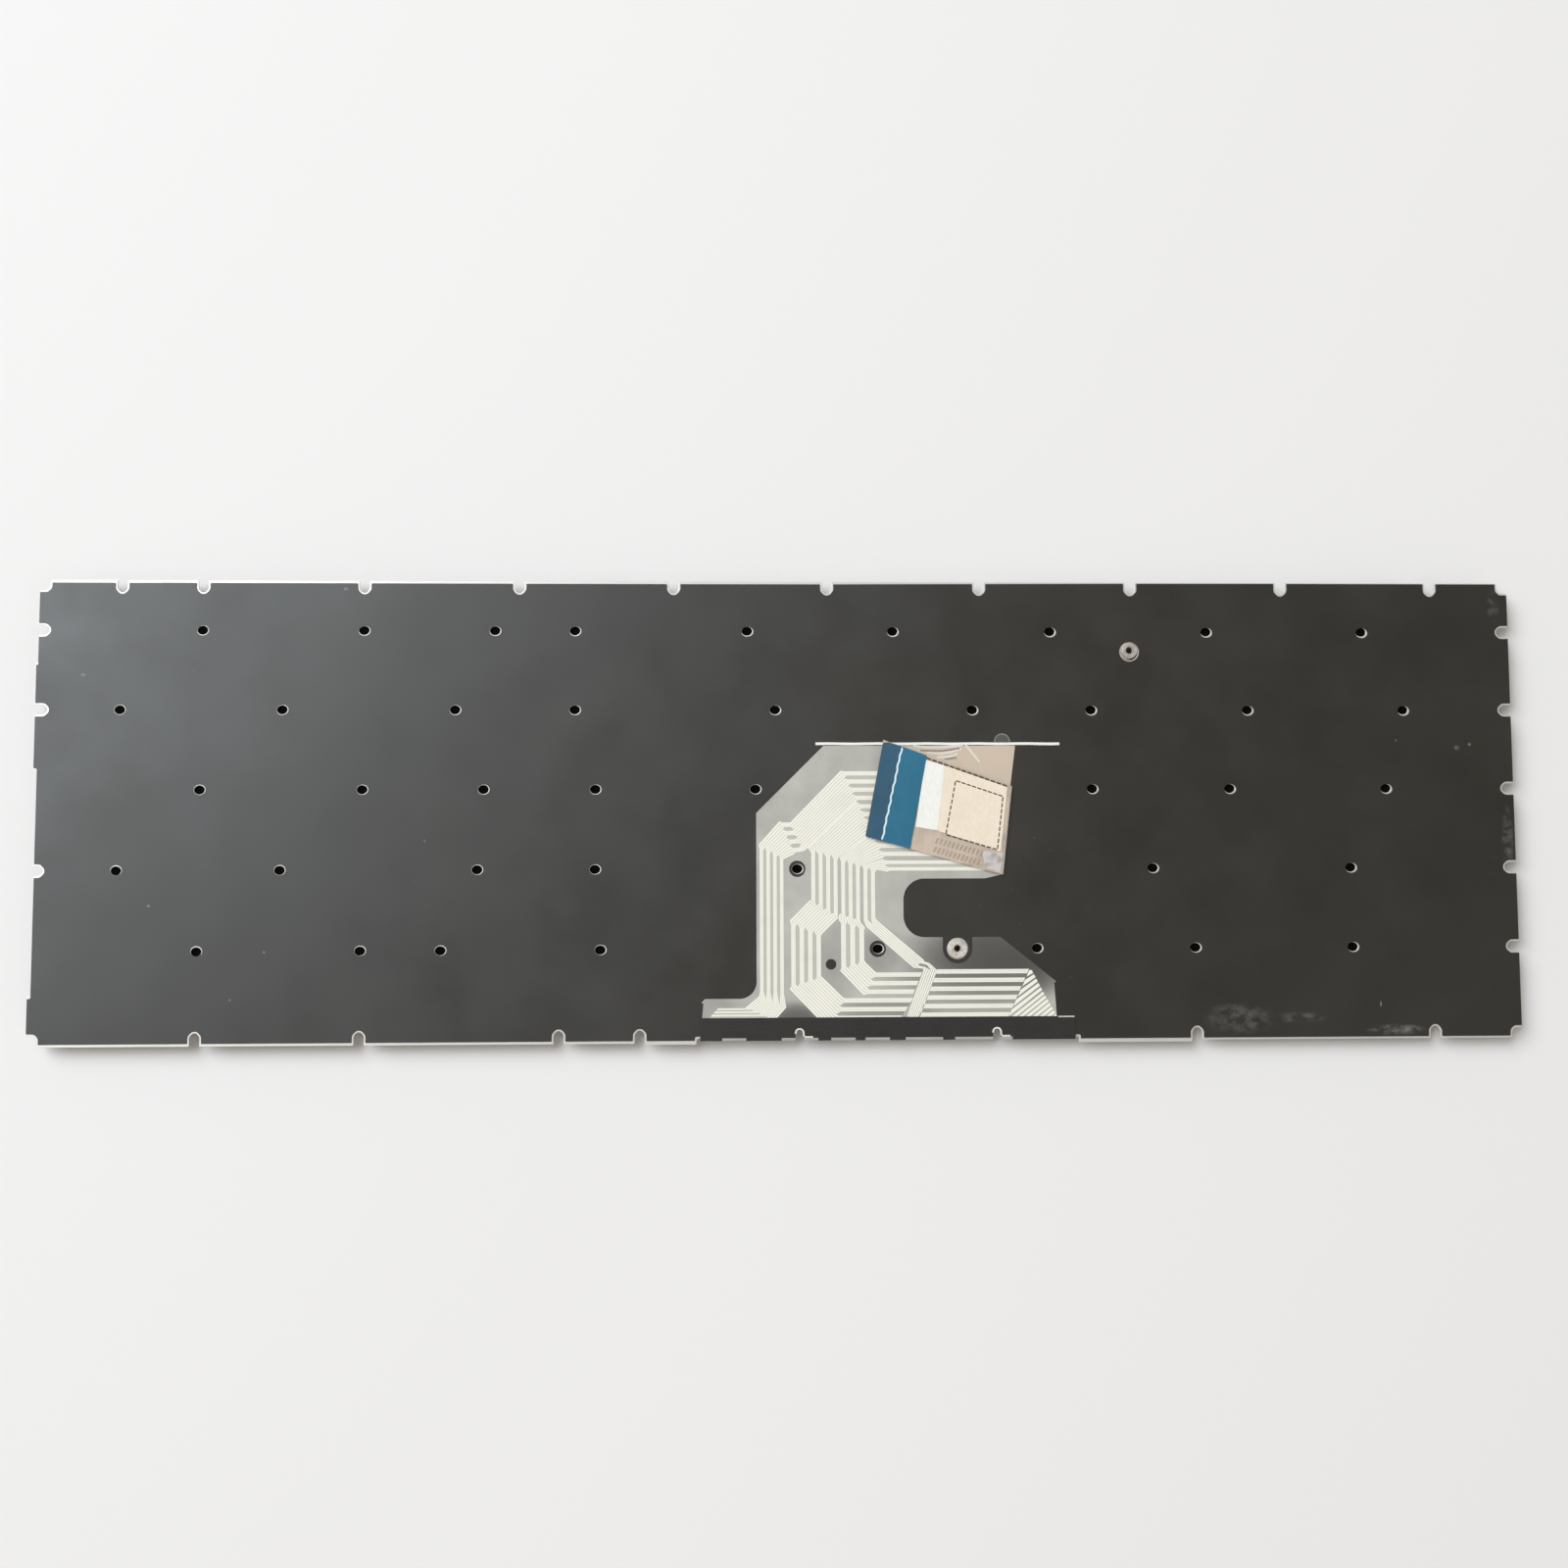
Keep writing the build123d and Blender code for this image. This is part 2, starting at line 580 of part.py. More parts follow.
def tail_stiffener():
    """Stiff strip on the contact end of the folded tail."""
    strip = quad(
        FLAP_END_TOP,
        toward(FLAP_END_TOP, FOLD_TOP, STIFFENER_LENGTH),
        toward(FLAP_END_BOTTOM, FOLD_BOTTOM, STIFFENER_LENGTH),
        FLAP_END_BOTTOM,
    )
    return extrude(Pos(0, 0, Z_FLAP_BACK) * strip, STIFFENER_THICKNESS)


def tail_label():
    """Paper patch between the stiffener and the fold."""
    near_top = toward(FLAP_END_TOP, FOLD_TOP, STIFFENER_LENGTH + LABEL_MARGIN)
    near_bottom = toward(FLAP_END_BOTTOM, FOLD_BOTTOM, STIFFENER_LENGTH + LABEL_MARGIN)
    far_top = toward(FOLD_TOP, FLAP_END_TOP, LABEL_MARGIN)
    far_bottom = toward(FOLD_BOTTOM, FLAP_END_BOTTOM, LABEL_MARGIN)
    patch = quad(
        toward(near_top, near_bottom, LABEL_MARGIN),
        toward(far_top, far_bottom, LABEL_MARGIN),
        toward(far_top, far_bottom, LABEL_HEIGHT),
        toward(near_top, near_bottom, LABEL_HEIGHT),
    )
    return extrude(Pos(0, 0, Z_FLAP_BACK) * patch, LABEL_THICKNESS)


def tail_cover_tape():
    """Black tape across the foot of the tail."""
    strip = area(
        LOWER_BOSS.X + TAIL_FOOT_LEFT,
        LOWER_BOSS.X + TAIL_FOOT_RIGHT + COVER_TAPE_OVERHANG,
        BASE,
        BASE + COVER_TAPE_HEIGHT,
    )
    return extrude(Pos(0, 0, Z_TAIL_BACK) * strip, TAPE_THICKNESS)


def white_tape_strip():
    """Narrow white tape on the film along the tail's upper edge."""
    left = LOWER_BOSS.X + WHITE_STRIP_LEFT
    low = LOWER_BOSS.Y + TAIL_TOP + WHITE_STRIP_GAP
    strip = area(left, left + WHITE_STRIP_LENGTH, low, low + WHITE_STRIP_WIDTH)
    return extrude(Pos(0, 0, Z_TAIL) * strip, TAPE_THICKNESS)


def sub_parts():
    """Every node by name, each a list of solids."""
    keys = all_keys()
    sprung = [key for key in keys if key.name in SPRUNG_KEYS]
    parts = {f"keycap_{key.name}": [keycap(key)] for key in sprung}
    for key in keys:
        if key.name not in SPRUNG_KEYS:
            parts.setdefault(key.group, []).append(keycap(key))
    places = scissor_places(sprung)
    parts["rubber_domes"] = [rubber_dome(key) for key in keys]
    parts["scissor_outer_links"] = [place * outer_link() for place in places]
    parts["scissor_inner_links"] = [place * inner_link() for place in places]
    wide = [key for key in keys if key.units >= STABILISED_UNITS]
    parts["stabiliser_bars"] = [stabiliser_bar(key) for key in wide]
    parts["support_plate"] = [support_plate()]
    parts["back_film"] = [back_film()]
    parts["screw_bosses"] = [screw_boss(place) for place in (UPPER_BOSS, LOWER_BOSS)]
    parts["membrane_circuit"] = [membrane_circuit()]
    parts["tail_stiffener"] = [tail_stiffener()]
    parts["tail_label"] = [tail_label()]
    parts["tail_cover_tape"] = [tail_cover_tape()]
    parts["white_tape_strip"] = [white_tape_strip()]
    return parts


os.makedirs("parts", exist_ok=True)
for name, shapes in sub_parts().items():
    solids = [solid for shape in shapes for solid in shape.solids()]
    export_step(solids[0] if len(solids) == 1 else Compound(solids), f"parts/{name}.step")
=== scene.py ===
import math

import bmesh
import bpy
from bpy.props import FloatProperty, FloatVectorProperty, PointerProperty
from mathutils import Euler, Matrix, Vector


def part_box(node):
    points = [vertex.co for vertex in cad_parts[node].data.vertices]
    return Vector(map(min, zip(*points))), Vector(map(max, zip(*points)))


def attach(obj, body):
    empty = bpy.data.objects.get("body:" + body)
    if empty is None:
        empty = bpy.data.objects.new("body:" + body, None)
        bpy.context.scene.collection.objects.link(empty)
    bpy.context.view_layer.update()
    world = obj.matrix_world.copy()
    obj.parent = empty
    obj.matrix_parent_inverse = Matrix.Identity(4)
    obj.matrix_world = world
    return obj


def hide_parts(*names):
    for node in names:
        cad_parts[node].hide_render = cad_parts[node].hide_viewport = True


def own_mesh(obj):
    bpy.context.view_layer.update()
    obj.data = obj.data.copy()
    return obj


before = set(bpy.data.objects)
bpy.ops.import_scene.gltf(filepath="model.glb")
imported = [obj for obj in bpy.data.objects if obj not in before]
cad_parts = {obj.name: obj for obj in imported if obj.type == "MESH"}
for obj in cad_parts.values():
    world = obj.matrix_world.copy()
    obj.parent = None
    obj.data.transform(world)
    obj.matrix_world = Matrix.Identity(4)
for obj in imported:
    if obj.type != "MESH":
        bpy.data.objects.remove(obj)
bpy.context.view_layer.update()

bl_info = {
    "name": "Laptop Keyboard Back",
    "version": (1, 0, 0),
    "blender": (4, 5, 0),
    "location": "View3D > Sidebar > Keyboard",
    "description": "Builds a laptop replacement keyboard that lies face down on its keys",
    "category": "Add Mesh",
}

MM = 0.001
BASE_BODY = "base"
FIXED_CAP_NODES = (
    "function_row_keycaps",
    "symbol_keycaps",
    "modifier_keycaps",
    "arrow_keycaps",
    "numpad_keycaps",
)
SPRUNG_CAPS = sorted(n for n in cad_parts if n.startswith("keycap_"))


def node_box(node):
    """Lowest and highest corner of a CAD node, in millimetres."""
    low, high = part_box(node)
    return low / MM, high / MM


PLATE_LOW, PLATE_HIGH = node_box("support_plate")
FILM_LOW, FILM_HIGH = node_box("back_film")
BOSS_LOW, BOSS_HIGH = node_box("screw_bosses")
MEMBRANE_LOW, _ = node_box("membrane_circuit")
TAPE_LOW, TAPE_HIGH = node_box("tail_cover_tape")
STRIP_LOW, STRIP_HIGH = node_box("white_tape_strip")
STIFFENER_LOW, STIFFENER_HIGH = node_box("tail_stiffener")
LABEL_LOW, LABEL_HIGH = node_box("tail_label")
DOME_LOW, DOME_HIGH = node_box("rubber_domes")
TAIL_FILM = 0.2
TAIL_TOP_Z = FILM_HIGH.z + TAIL_FILM
FLAP_TOP_Z = LABEL_LOW.z


def length_mm(name, words, value):
    """Property for a length, kept in metres and given in millimetres."""
    return FloatProperty(
        name=name, description=words, default=value * MM, unit="LENGTH", subtype="DISTANCE", precision=5
    )


def colour(name, words, value):
    """Property for a surface colour."""
    return FloatVectorProperty(
        name=name, description=words, default=value, subtype="COLOR", size=3, min=0.0, max=1.0
    )


class KeyboardSizes(bpy.types.PropertyGroup):
    """Sizes that the frame leaves open."""

    rivet_hole: length_mm("Rivet hole", "Mean radius of the oval rivet holes in the plate", 1.17)
    film_hole: length_mm("Film hole", "Mean radius of the film's cut around a rivet hole", 1.33)
    film_shift: length_mm("Film shift", "How far the film's cuts sit off the middle of the holes", 0.16)
    boss_bore: length_mm("Boss bore", "Radius of the threaded bore of a screw boss", 0.75)
    sheet_round: length_mm("Notch rounding", "Rounding inside the plate's notches and corners", 1.45)
    sheet_corner: length_mm("Corner rounding", "Rounding of the corners that stick out", 0.2)
    cap_round: length_mm("Cap rounding", "Corner radius of a keycap", 1.6)
    cap_dish: length_mm("Cap dish", "Depth of the hollow in a keycap's finger face", 0.18)
    ink: length_mm("Ink", "Thickness of a printed silver track", 0.02)


class KeyboardColours(bpy.types.PropertyGroup):
    """Colours of the finishes."""

    film: colour("Film", "Black film on the back", (0.0108, 0.0077, 0.0034))
    steel: colour("Steel", "Rolled steel of the plate", (0.80, 0.77, 0.72))
    boss: colour("Boss", "Turned steel of the screw bosses", (0.80, 0.74, 0.67))
    # The pale membrane colour is partly painted sheen of the key light; the clear colour is partly painted
    # shade where that sheen fades.
    membrane: colour("Membrane", "Hazy clear film of the tail", (0.45, 0.435, 0.395))
    clear: colour("Clear", "Clear parts of the tail, with the black film seen through", (0.075, 0.070, 0.063))
    flap: colour("Flap", "Yellowed film of the folded end", (0.66, 0.54, 0.42))
    silver: colour("Silver", "Printed silver tracks", (0.95, 0.92, 0.81))
    under: colour("Under tracks", "Tracks of the lower layer, seen through the film", (0.55, 0.54, 0.47))
    blue: colour("Blue", "Stiffener at the contact end", (0.022, 0.165, 0.275))
    deep_blue: colour("Deep blue", "Stiffener beyond its seam", (0.030, 0.105, 0.175))
    cream: colour("Cream", "Paper of the label", (0.92, 0.80, 0.64))
    white: colour("White", "White paper and tape", (0.95, 0.94, 0.88))
    keycap: colour("Keycap", "Moulded black keycaps", (0.018, 0.018, 0.019))
    rubber: colour("Rubber", "Return domes", (0.60, 0.60, 0.58))
    link: colour("Link", "Moulded scissor links", (0.76, 0.75, 0.72))


class KeyboardStudio(bpy.types.PropertyGroup):
    """Camera and light."""

    camera_place: FloatVectorProperty(
        name="Camera place",
        description="Place of the camera above the back",
        default=(-0.01667, -0.02997, 0.44606),
        subtype="XYZ",
        unit="LENGTH",
        precision=5,
    )
    camera_turn: FloatVectorProperty(
        name="Camera turn",
        description="Turn of the camera about X, Y and Z",
        default=tuple(math.radians(a) for a in (4.705, -2.140, -0.251)),
        subtype="EULER",
        unit="ROTATION",
    )
    lens: FloatProperty(name="Lens", description="Focal length in millimetres", default=42.75, unit="CAMERA")
    key_power: FloatProperty(
        name="Key light",
        description="Power of the large soft light",
        default=90.0,
        unit="POWER",
    )
    fill_power: FloatProperty(
        name="Fill light",
        description="Power of the weak light",
        default=2.0,
        unit="POWER",
    )
    sky: FloatProperty(name="Sky", description="Strength of the even light from above", default=0.28)
    horizon: FloatProperty(
        name="Horizon",
        description="Strength of the pale band around the floor",
        default=0.9,
    )
    floor: colour("Floor", "Pale floor", (0.88, 0.86, 0.845))


def sizes():
    return bpy.context.scene.keyboard_sizes


def colours():
    return bpy.context.scene.keyboard_colours


def studio():
    return bpy.context.scene.keyboard_studio


def in_mm(length):
    return length / MM


class Finish:
    """Node material under construction."""

    def __init__(self, name, base, roughness, metallic=0.0, **sockets):
        self.material = bpy.data.materials.new(name)
        self.material.use_nodes = True
        self.nodes = self.material.node_tree.nodes
        self.links = self.material.node_tree.links
        self.shader = self.nodes["Principled BSDF"]
        self.base = (*base, 1.0)
        self.shader.inputs["Base Color"].default_value = self.base
        self.shader.inputs["Roughness"].default_value = roughness
        self.shader.inputs["Metallic"].default_value = metallic
        for socket, value in sockets.items():
            self.shader.inputs[socket.replace("_", " ")].default_value = value

    def node(self, kind, inputs=None, **settings):
        made = self.nodes.new("ShaderNode" + kind)
        for key, value in settings.items():
            setattr(made, key, value)
        for key, value in (inputs or {}).items():
            if isinstance(value, bpy.types.NodeSocket):
                self.links.new(value, made.inputs[key])
            else:
                made.inputs[key].default_value = value
        return made

    def place(self, stretch=(1.0, 1.0, 1.0)):
        """Object coordinates in millimetres, stretched along an axis."""
        coords = self.node("TexCoord").outputs["Object"]
        scale = tuple(s / MM for s in stretch)
        return self.node("Mapping", {"Vector": coords, "Scale": scale}).outputs["Vector"]

    def noise(self, scale, detail=4.0, stretch=(1.0, 1.0, 1.0), roughness=0.55):
        """Noise whose features are about one over scale millimetres across."""
        values = {"Vector": self.place(stretch), "Scale": scale, "Detail": detail, "Roughness": roughness}
        return self.node("TexNoise", values).outputs["Fac"]

    def math(self, operation, a, b=0.0):
        return self.node("Math", {0: a, 1: b}, operation=operation).outputs[0]

    def between(self, value, low, high, out_low=0.0, out_high=1.0, smooth=False):
        """Value carried from one range to another and held inside it."""
        kind = "SMOOTHSTEP" if smooth else "LINEAR"
        inputs = {"Value": value, 1: low, 2: high, 3: out_low, 4: out_high}
        return self.node("MapRange", inputs, interpolation_type=kind, clamp=True).outputs[0]

    def tint(self, mask, other):
        """Another base colour where the mask is high."""
        socket = self.shader.inputs["Base Color"]
        before = socket.links[0].from_socket if socket.is_linked else self.base
        mix = self.node("Mix", {0: mask, 6: before, 7: (*other, 1.0)}, data_type="RGBA")
        self.links.new(mix.outputs[2], socket)
        return self

    def rough(self, value):
        self.links.new(value, self.shader.inputs["Roughness"])
        return self

    def bump(self, height, distance_mm, strength=1.0):
        values = {"Height": height, "Strength": strength, "Distance": distance_mm * MM}
        before = self.shader.inputs["Normal"]
        if before.is_linked:
            values["Normal"] = before.links[0].from_socket
        made = self.node("Bump", values)
        self.links.new(made.outputs["Normal"], before)
        return self

    def patch(self, x, y, half_x, half_y):
        """Soft mask, one inside an ellipse on the back and fading to its edge."""
        split = self.node("SeparateXYZ", {0: self.place()})
        dx = self.math("DIVIDE", self.math("SUBTRACT", split.outputs[0], x), half_x)
        dy = self.math("DIVIDE", self.math("SUBTRACT", split.outputs[1], y), half_y)
        reach = self.math("ADD", self.math("MULTIPLY", dx, dx), self.math("MULTIPLY", dy, dy))
        return self.between(reach, 0.0, 1.0, 1.0, 0.0, smooth=True)


# Rubbed patches and specks on the film: middle, half size and, for a patch, its share.
FILM_SCUFFS = (
    (108.2, -49.8, 9.5, 4.4, 0.34),
    (122.9, -49.6, 7.0, 1.5, 0.4),
    (146.0, -52.6, 8.0, 1.5, 0.75),
    (174.6, -7.0, 1.7, 9.0, 0.42),
    (173.0, 49.5, 1.9, 5.0, 0.25),
)
FILM_SPECKS = (
    (148.0, 16.7, 0.4, 0.4), (162.9, 14.9, 0.8, 0.7), (166.0, 15.8, 0.5, 0.5), (-165.5, 32.4, 0.7, 0.4),
    (-148.9, -22.1, 0.5, 0.4), (-104.2, 53.1, 0.7, 0.5), (-122.0, -33.0, 0.4, 0.4), (-129.7, -44.1, 0.3, 0.4),
    (-84.9, -7.0, 0.3, 0.4), (142.4, -46.5, 0.3, 0.9),
)


def finish_film():
    """Satin black film: faint mottling, fine grain, dust specks and a few pale scuffs."""
    cool = (0.97, 1.0, 1.01, 1.0)
    made = Finish("film_satin_black", colours().film, 0.42, Specular_IOR_Level=0.9, Specular_Tint=cool)
    mottle = made.noise(0.03, 3.0)
    made.tint(made.between(mottle, 0.35, 0.7), tuple(c * 1.35 for c in colours().film))
    smear = made.noise(0.42, 5.0, (1.0, 1.5, 1.0))
    for x, y, half_x, half_y, share in FILM_SCUFFS:
        mask = made.math("MULTIPLY", made.patch(x, y, half_x, half_y), made.between(smear, 0.4, 0.66))
        made.tint(made.math("MULTIPLY", mask, share), (0.20, 0.195, 0.185))
    for x, y, half_x, half_y in FILM_SPECKS:
        mask = made.math("MULTIPLY", made.patch(x, y, half_x, half_y), made.between(smear, 0.3, 0.6))
        made.tint(made.math("MULTIPLY", mask, 0.8), (0.22, 0.22, 0.21))
    dust = made.between(made.noise(1.6, 2.0), 0.735, 0.78)
    sparse = made.between(made.noise(0.05, 2.0), 0.5, 0.62)
    made.tint(made.math("MULTIPLY", made.math("MULTIPLY", dust, sparse), 0.5), (0.22, 0.22, 0.21))
    made.rough(made.between(made.noise(0.06, 4.0), 0.3, 0.7, 0.36, 0.46))
    made.bump(made.noise(3.2, 2.0), 0.012, 0.5)
    made.bump(made.noise(0.022, 2.0), 0.9, 0.35)
    return made.material


def finish_steel(name, base, roughness, metallic):
    """Bright rolled steel with fine lines along the sheet."""
    made = Finish(name, base, roughness, metallic)
    lines = made.noise(1.0, 5.0, (0.12, 7.0, 7.0))
    made.tint(made.between(lines, 0.4, 0.75), tuple(c * 0.8 for c in base))
    made.rough(made.between(lines, 0.3, 0.7, roughness - 0.06, roughness + 0.12))
    return made.bump(lines, 0.01, 0.4).material


def finish_turned(name, base):
    """Turned steel with rings about the boss's own axis and a little grime."""
    made = Finish(name, base, 0.42, 0.55)
    split = made.node("SeparateXYZ", {0: made.place()})
    x, y = split.outputs[0], split.outputs[1]
    radius = made.math("SQRT", made.math("ADD", made.math("MULTIPLY", x, x), made.math("MULTIPLY", y, y)))
    rings = made.math("SINE", made.math("MULTIPLY", radius, 38.0))
    made.tint(made.between(made.noise(1.3, 4.0), 0.5, 0.75), (0.30, 0.26, 0.22))
    made.rough(made.between(made.noise(2.0), 0.3, 0.7, 0.36, 0.52))
    return made.bump(rings, 0.012, 0.5).material


def finish_membrane():
    """Hazy clear film, darker where the black film shows through it; the pale base and these dark patches
    also paint the key light's sheen fading to painted shade towards the right.
    """
    base = colours().membrane
    made = Finish("membrane_hazy_film", base, 0.3, Coat_Weight=0.25, Coat_Roughness=0.2)
    haze = made.noise(0.12, 4.0)
    made.tint(made.between(haze, 0.35, 0.7), tuple(c * 1.2 for c in base))
    # Dark patches: black film seen through the clear film, and painted shade where the sheen fades.
    for x, y, half_x, half_y, share in CLEAR_AND_SHADE_PATCHES:
        spot = on_tail((x, y))
        made.tint(made.math("MULTIPLY", made.patch(spot.x, spot.y, half_x, half_y), share), colours().clear)
    spot = on_tail(CREASED_PATCH[:2])
    made.tint(made.patch(spot.x, spot.y, *CREASED_PATCH[2:]), colours().flap)
    made.rough(made.between(haze, 0.3, 0.7, 0.26, 0.4))
    return made.bump(made.noise(0.18, 3.0), 0.12, 0.3).material


def finish_flap():
    """Thin yellowed film with streaks along the tail, a little of which is see-through."""
    base = colours().flap
    made = Finish("flap_yellowed_film", base, 0.35, Coat_Weight=0.3, Coat_Roughness=0.25, Alpha=0.68)
    streaks = made.noise(0.5, 4.0, (1.0, 0.35, 1.0))
    made.tint(made.between(streaks, 0.42, 0.7), tuple(min(1.0, c * 1.3) for c in base))
    made.tint(made.between(made.noise(0.25, 3.0), 0.55, 0.75), tuple(c * 0.75 for c in base))
    made.tint(made.math("MULTIPLY", made.patch(37.0, -9.5, 14.0, 6.0), 0.55), (0.84, 0.70, 0.58))
    return made.bump(streaks, 0.08, 0.4).material


def finish_silver(name, base, shaded=()):
    """Silver ink: dull, with a printed grain, and patches of painted shade on the tracks of the lower layer.
    """
    made = Finish(name, base, 0.48)
    grain = made.noise(4.0, 3.0)
    made.tint(made.between(grain, 0.45, 0.75), tuple(c * 0.92 for c in base))
    made.tint(made.between(made.noise(0.16, 3.0), 0.55, 0.75), tuple(c * 0.93 for c in base))
    # Patches of painted shade where the sheen on the tail fades.
    for x, y, half_x, half_y, share in shaded:
        spot = on_tail((x, y))
        mask = made.math("MULTIPLY", made.patch(spot.x, spot.y, half_x, half_y), share)
        made.tint(mask, tuple(c * 0.3 for c in base))
    return made.bump(grain, 0.01, 0.5).material


def finish_plain(name, base, roughness, grain=2.5, depth=0.01, shade=0.8, stretch=(1.0, 1.0, 1.0), **sockets):
    """Coated or moulded surface with a fine grain and a slow change of tone."""
    made = Finish(name, base, roughness, **sockets)
    made.tint(made.between(made.noise(0.1, 4.0), 0.4, 0.72), tuple(c * shade for c in base))
    fine = made.noise(grain, 3.0, stretch)
    made.rough(made.between(fine, 0.3, 0.7, roughness - 0.06, roughness + 0.08))
    return made.bump(fine, depth, 0.6).material


def finish_paper(name, base):
    """Paper with fibres, slightly uneven in tone."""
    made = Finish(name, base, 0.75)
    fibres = made.noise(2.2, 6.0, (1.0, 0.35, 1.0))
    made.tint(made.between(fibres, 0.45, 0.75), tuple(c * 0.9 for c in base))
    made.tint(made.between(made.noise(0.2, 3.0), 0.5, 0.75), tuple(c * 0.93 for c in base))
    return made.bump(fibres, 0.02, 0.5).material


def welded(mesh, distance=1e-7):
    """Mesh with its doubled points joined and its faces turned outwards."""
    work = bmesh.new()
    work.from_mesh(mesh)
    bmesh.ops.remove_doubles(work, verts=work.verts, dist=distance)
    bmesh.ops.recalc_face_normals(work, faces=work.faces)
    work.to_mesh(mesh)
    work.free()
    return mesh


def smooth_over(mesh, degrees=35.0):
    """Smooth shading, except over edges sharper than the angle."""
    mesh.shade_smooth()
    mesh.set_sharp_from_angle(angle=math.radians(degrees))
    return mesh


def smooth_walls(mesh):
    """Smooth shading on the walls of a sheet, with its two faces flat."""
    smooth_over(mesh)
    for face in mesh.polygons:
        face.use_smooth = abs(face.normal.z) < 0.99
    return mesh


def piece(name, mesh, finishes, body=BASE_BODY, place=None, replaces=()):
    """Object for a mesh, riding on a body and wearing its finishes."""
    for finish in finishes:
        mesh.materials.append(finish)
    made = bpy.data.objects.new(name, mesh)
    bpy.context.scene.collection.objects.link(made)
    if place is not None:
        made.location = Vector(place) * MM
    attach(made, body)
    if replaces:
        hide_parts(*replaces)
    return made


def merged(node):
    """Bmesh of a CAD node in millimetres, with its points joined."""
    work = bmesh.new()
    work.from_mesh(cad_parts[node].data)
    bmesh.ops.scale(work, vec=(1 / MM,) * 3, verts=work.verts)
    bmesh.ops.remove_doubles(work, verts=work.verts, dist=1e-3)
    return work


def flat_loops(node, height):
    """Outline and holes of a node's flat faces at a height, the longest loop first."""
    work = merged(node)
    near = 0.004
    flat = {f for f in work.faces if all(abs(v.co.z - height) < near for v in f.verts)}
    nexts = {}
    for edge in work.edges:
        inside = [f for f in edge.link_faces if f in flat]
        if len(inside) == 1:
            for a, b in (edge.verts, reversed(edge.verts)):
                nexts.setdefault(a, []).append(b)
    loops = []
    while nexts:
        start = next(iter(nexts))
        loop, here = [], start
        while here in nexts:
            loop.append(here.co.to_2d())
            ahead = [v for v in nexts.pop(here) if v in nexts]
            if not ahead:
                break
            here = ahead[0]
        loops.append(loop)
    work.free()
    return sorted(loops, key=lambda p: -perimeter(p))


def perimeter(loop):
    return sum((loop[i] - loop[i - 1]).length for i in range(len(loop)))


def middle(loop):
    """Centre of a loop's box."""
    xs = [p.x for p in loop]
    ys = [p.y for p in loop]
    return Vector(((min(xs) + max(xs)) / 2, (min(ys) + max(ys)) / 2))


def circle(centre, radius, steps=32):
    """Points round a circle."""
    turn = math.tau / steps
    turns = [i * turn for i in range(steps)]
    return [Vector((centre[0] + radius * math.cos(t), centre[1] + radius * math.sin(t))) for t in turns]


def rounded(loop, radius, steps=5, outer=None):
    """Loop with an arc at each corner; corners that stick out may have a radius of their own."""
    made = []
    count = len(loop)
    turn = sum(loop[i - 1].cross(corner) for i, corner in enumerate(loop))
    for i, corner in enumerate(loop):
        back = loop[i - 1] - corner
        ahead = loop[(i + 1) % count] - corner
        room = 0.48 * min(back.length, ahead.length)
        angle = back.angle(ahead, math.pi)
        if angle > math.radians(172) or room < 1e-4:
            made.append(corner)
            continue
        sticks_out = back.cross(ahead) * turn < 0
        reach = outer if outer is not None and sticks_out else radius
        cut = min(reach / math.tan(angle / 2), room)
        start = corner + back.normalized() * cut
        end = corner + ahead.normalized() * cut
        for k in range(steps + 1):
            t = k / steps
            made.append(start * (1 - t) ** 2 + corner * (2 * t * (1 - t)) + end * t**2)
    return made


def oval(centre, radius):
    """Points round a hole that is a little wider than it is high."""
    stretch = 0.08
    points = circle((0.0, 0.0), radius)
    return [centre + Vector((p.x * (1 + stretch), p.y * (1 - stretch))) for p in points]


def sheet_mesh(name, loops, low, high, bevel=0.0):
    """Flat sheet between two heights, from an outline and its holes, with broken edges."""
    curve = bpy.data.curves.new(name, "CURVE")
    curve.dimensions = "2D"
    curve.fill_mode = "BOTH"
    curve.extrude = (high - low) / 2 - bevel
    curve.bevel_depth = bevel
    curve.bevel_resolution = 1
    curve.offset = -bevel
    for loop in loops:
        spline = curve.splines.new("POLY")
        spline.points.add(len(loop) - 1)
        for point, place in zip(spline.points, loop):
            point.co = (place[0], place[1], 0.0, 1.0)
        spline.use_cyclic_u = True
    holder = bpy.data.objects.new(name, curve)
    mesh = bpy.data.meshes.new_from_object(holder)
    bpy.data.objects.remove(holder)
    bpy.data.curves.remove(curve)
    mesh.transform(Matrix.Scale(MM, 4) @ Matrix.Translation((0, 0, (low + high) / 2)))
    mesh.name = name
    mesh.materials.clear()
    return smooth_walls(welded(mesh))


def joined(name, meshes):
    """One mesh from several, each keeping its material index."""
    work = bmesh.new()
    for mesh in meshes:
        work.from_mesh(mesh)
    made = bpy.data.meshes.new(name)
    work.to_mesh(made)
    work.free()
    for mesh in meshes:
        bpy.data.meshes.remove(mesh)
    return made


def mesh_of(name, points, faces):
    """Mesh from points in millimetres."""
    made = bpy.data.meshes.new(name)
    made.from_pydata([Vector(p) * MM for p in points], [], faces)
    return welded(made)


def solid_boxes(node):
    """Lowest and highest corner of each separate solid in a node."""
    work = merged(node)
    left = set(work.verts)
    boxes = []
    while left:
        reached, stack = [], [left.pop()]
        while stack:
            here = stack.pop()
            reached.append(here.co)
            for edge in here.link_edges:
                other = edge.other_vert(here)
                if other in left:
                    left.remove(other)
                    stack.append(other)
        low = Vector([min(c[i] for c in reached) for i in range(3)])
        high = Vector([max(c[i] for c in reached) for i in range(3)])
        boxes.append((low, high))
    work.free()
    return sorted(boxes, key=lambda b: (round(b[0].y, 2), b[0].x))


def bosses():
    """Centres of the two screw bosses, the lower one first."""
    return [(low + high).to_2d() / 2 for low, high in solid_boxes("screw_bosses")]


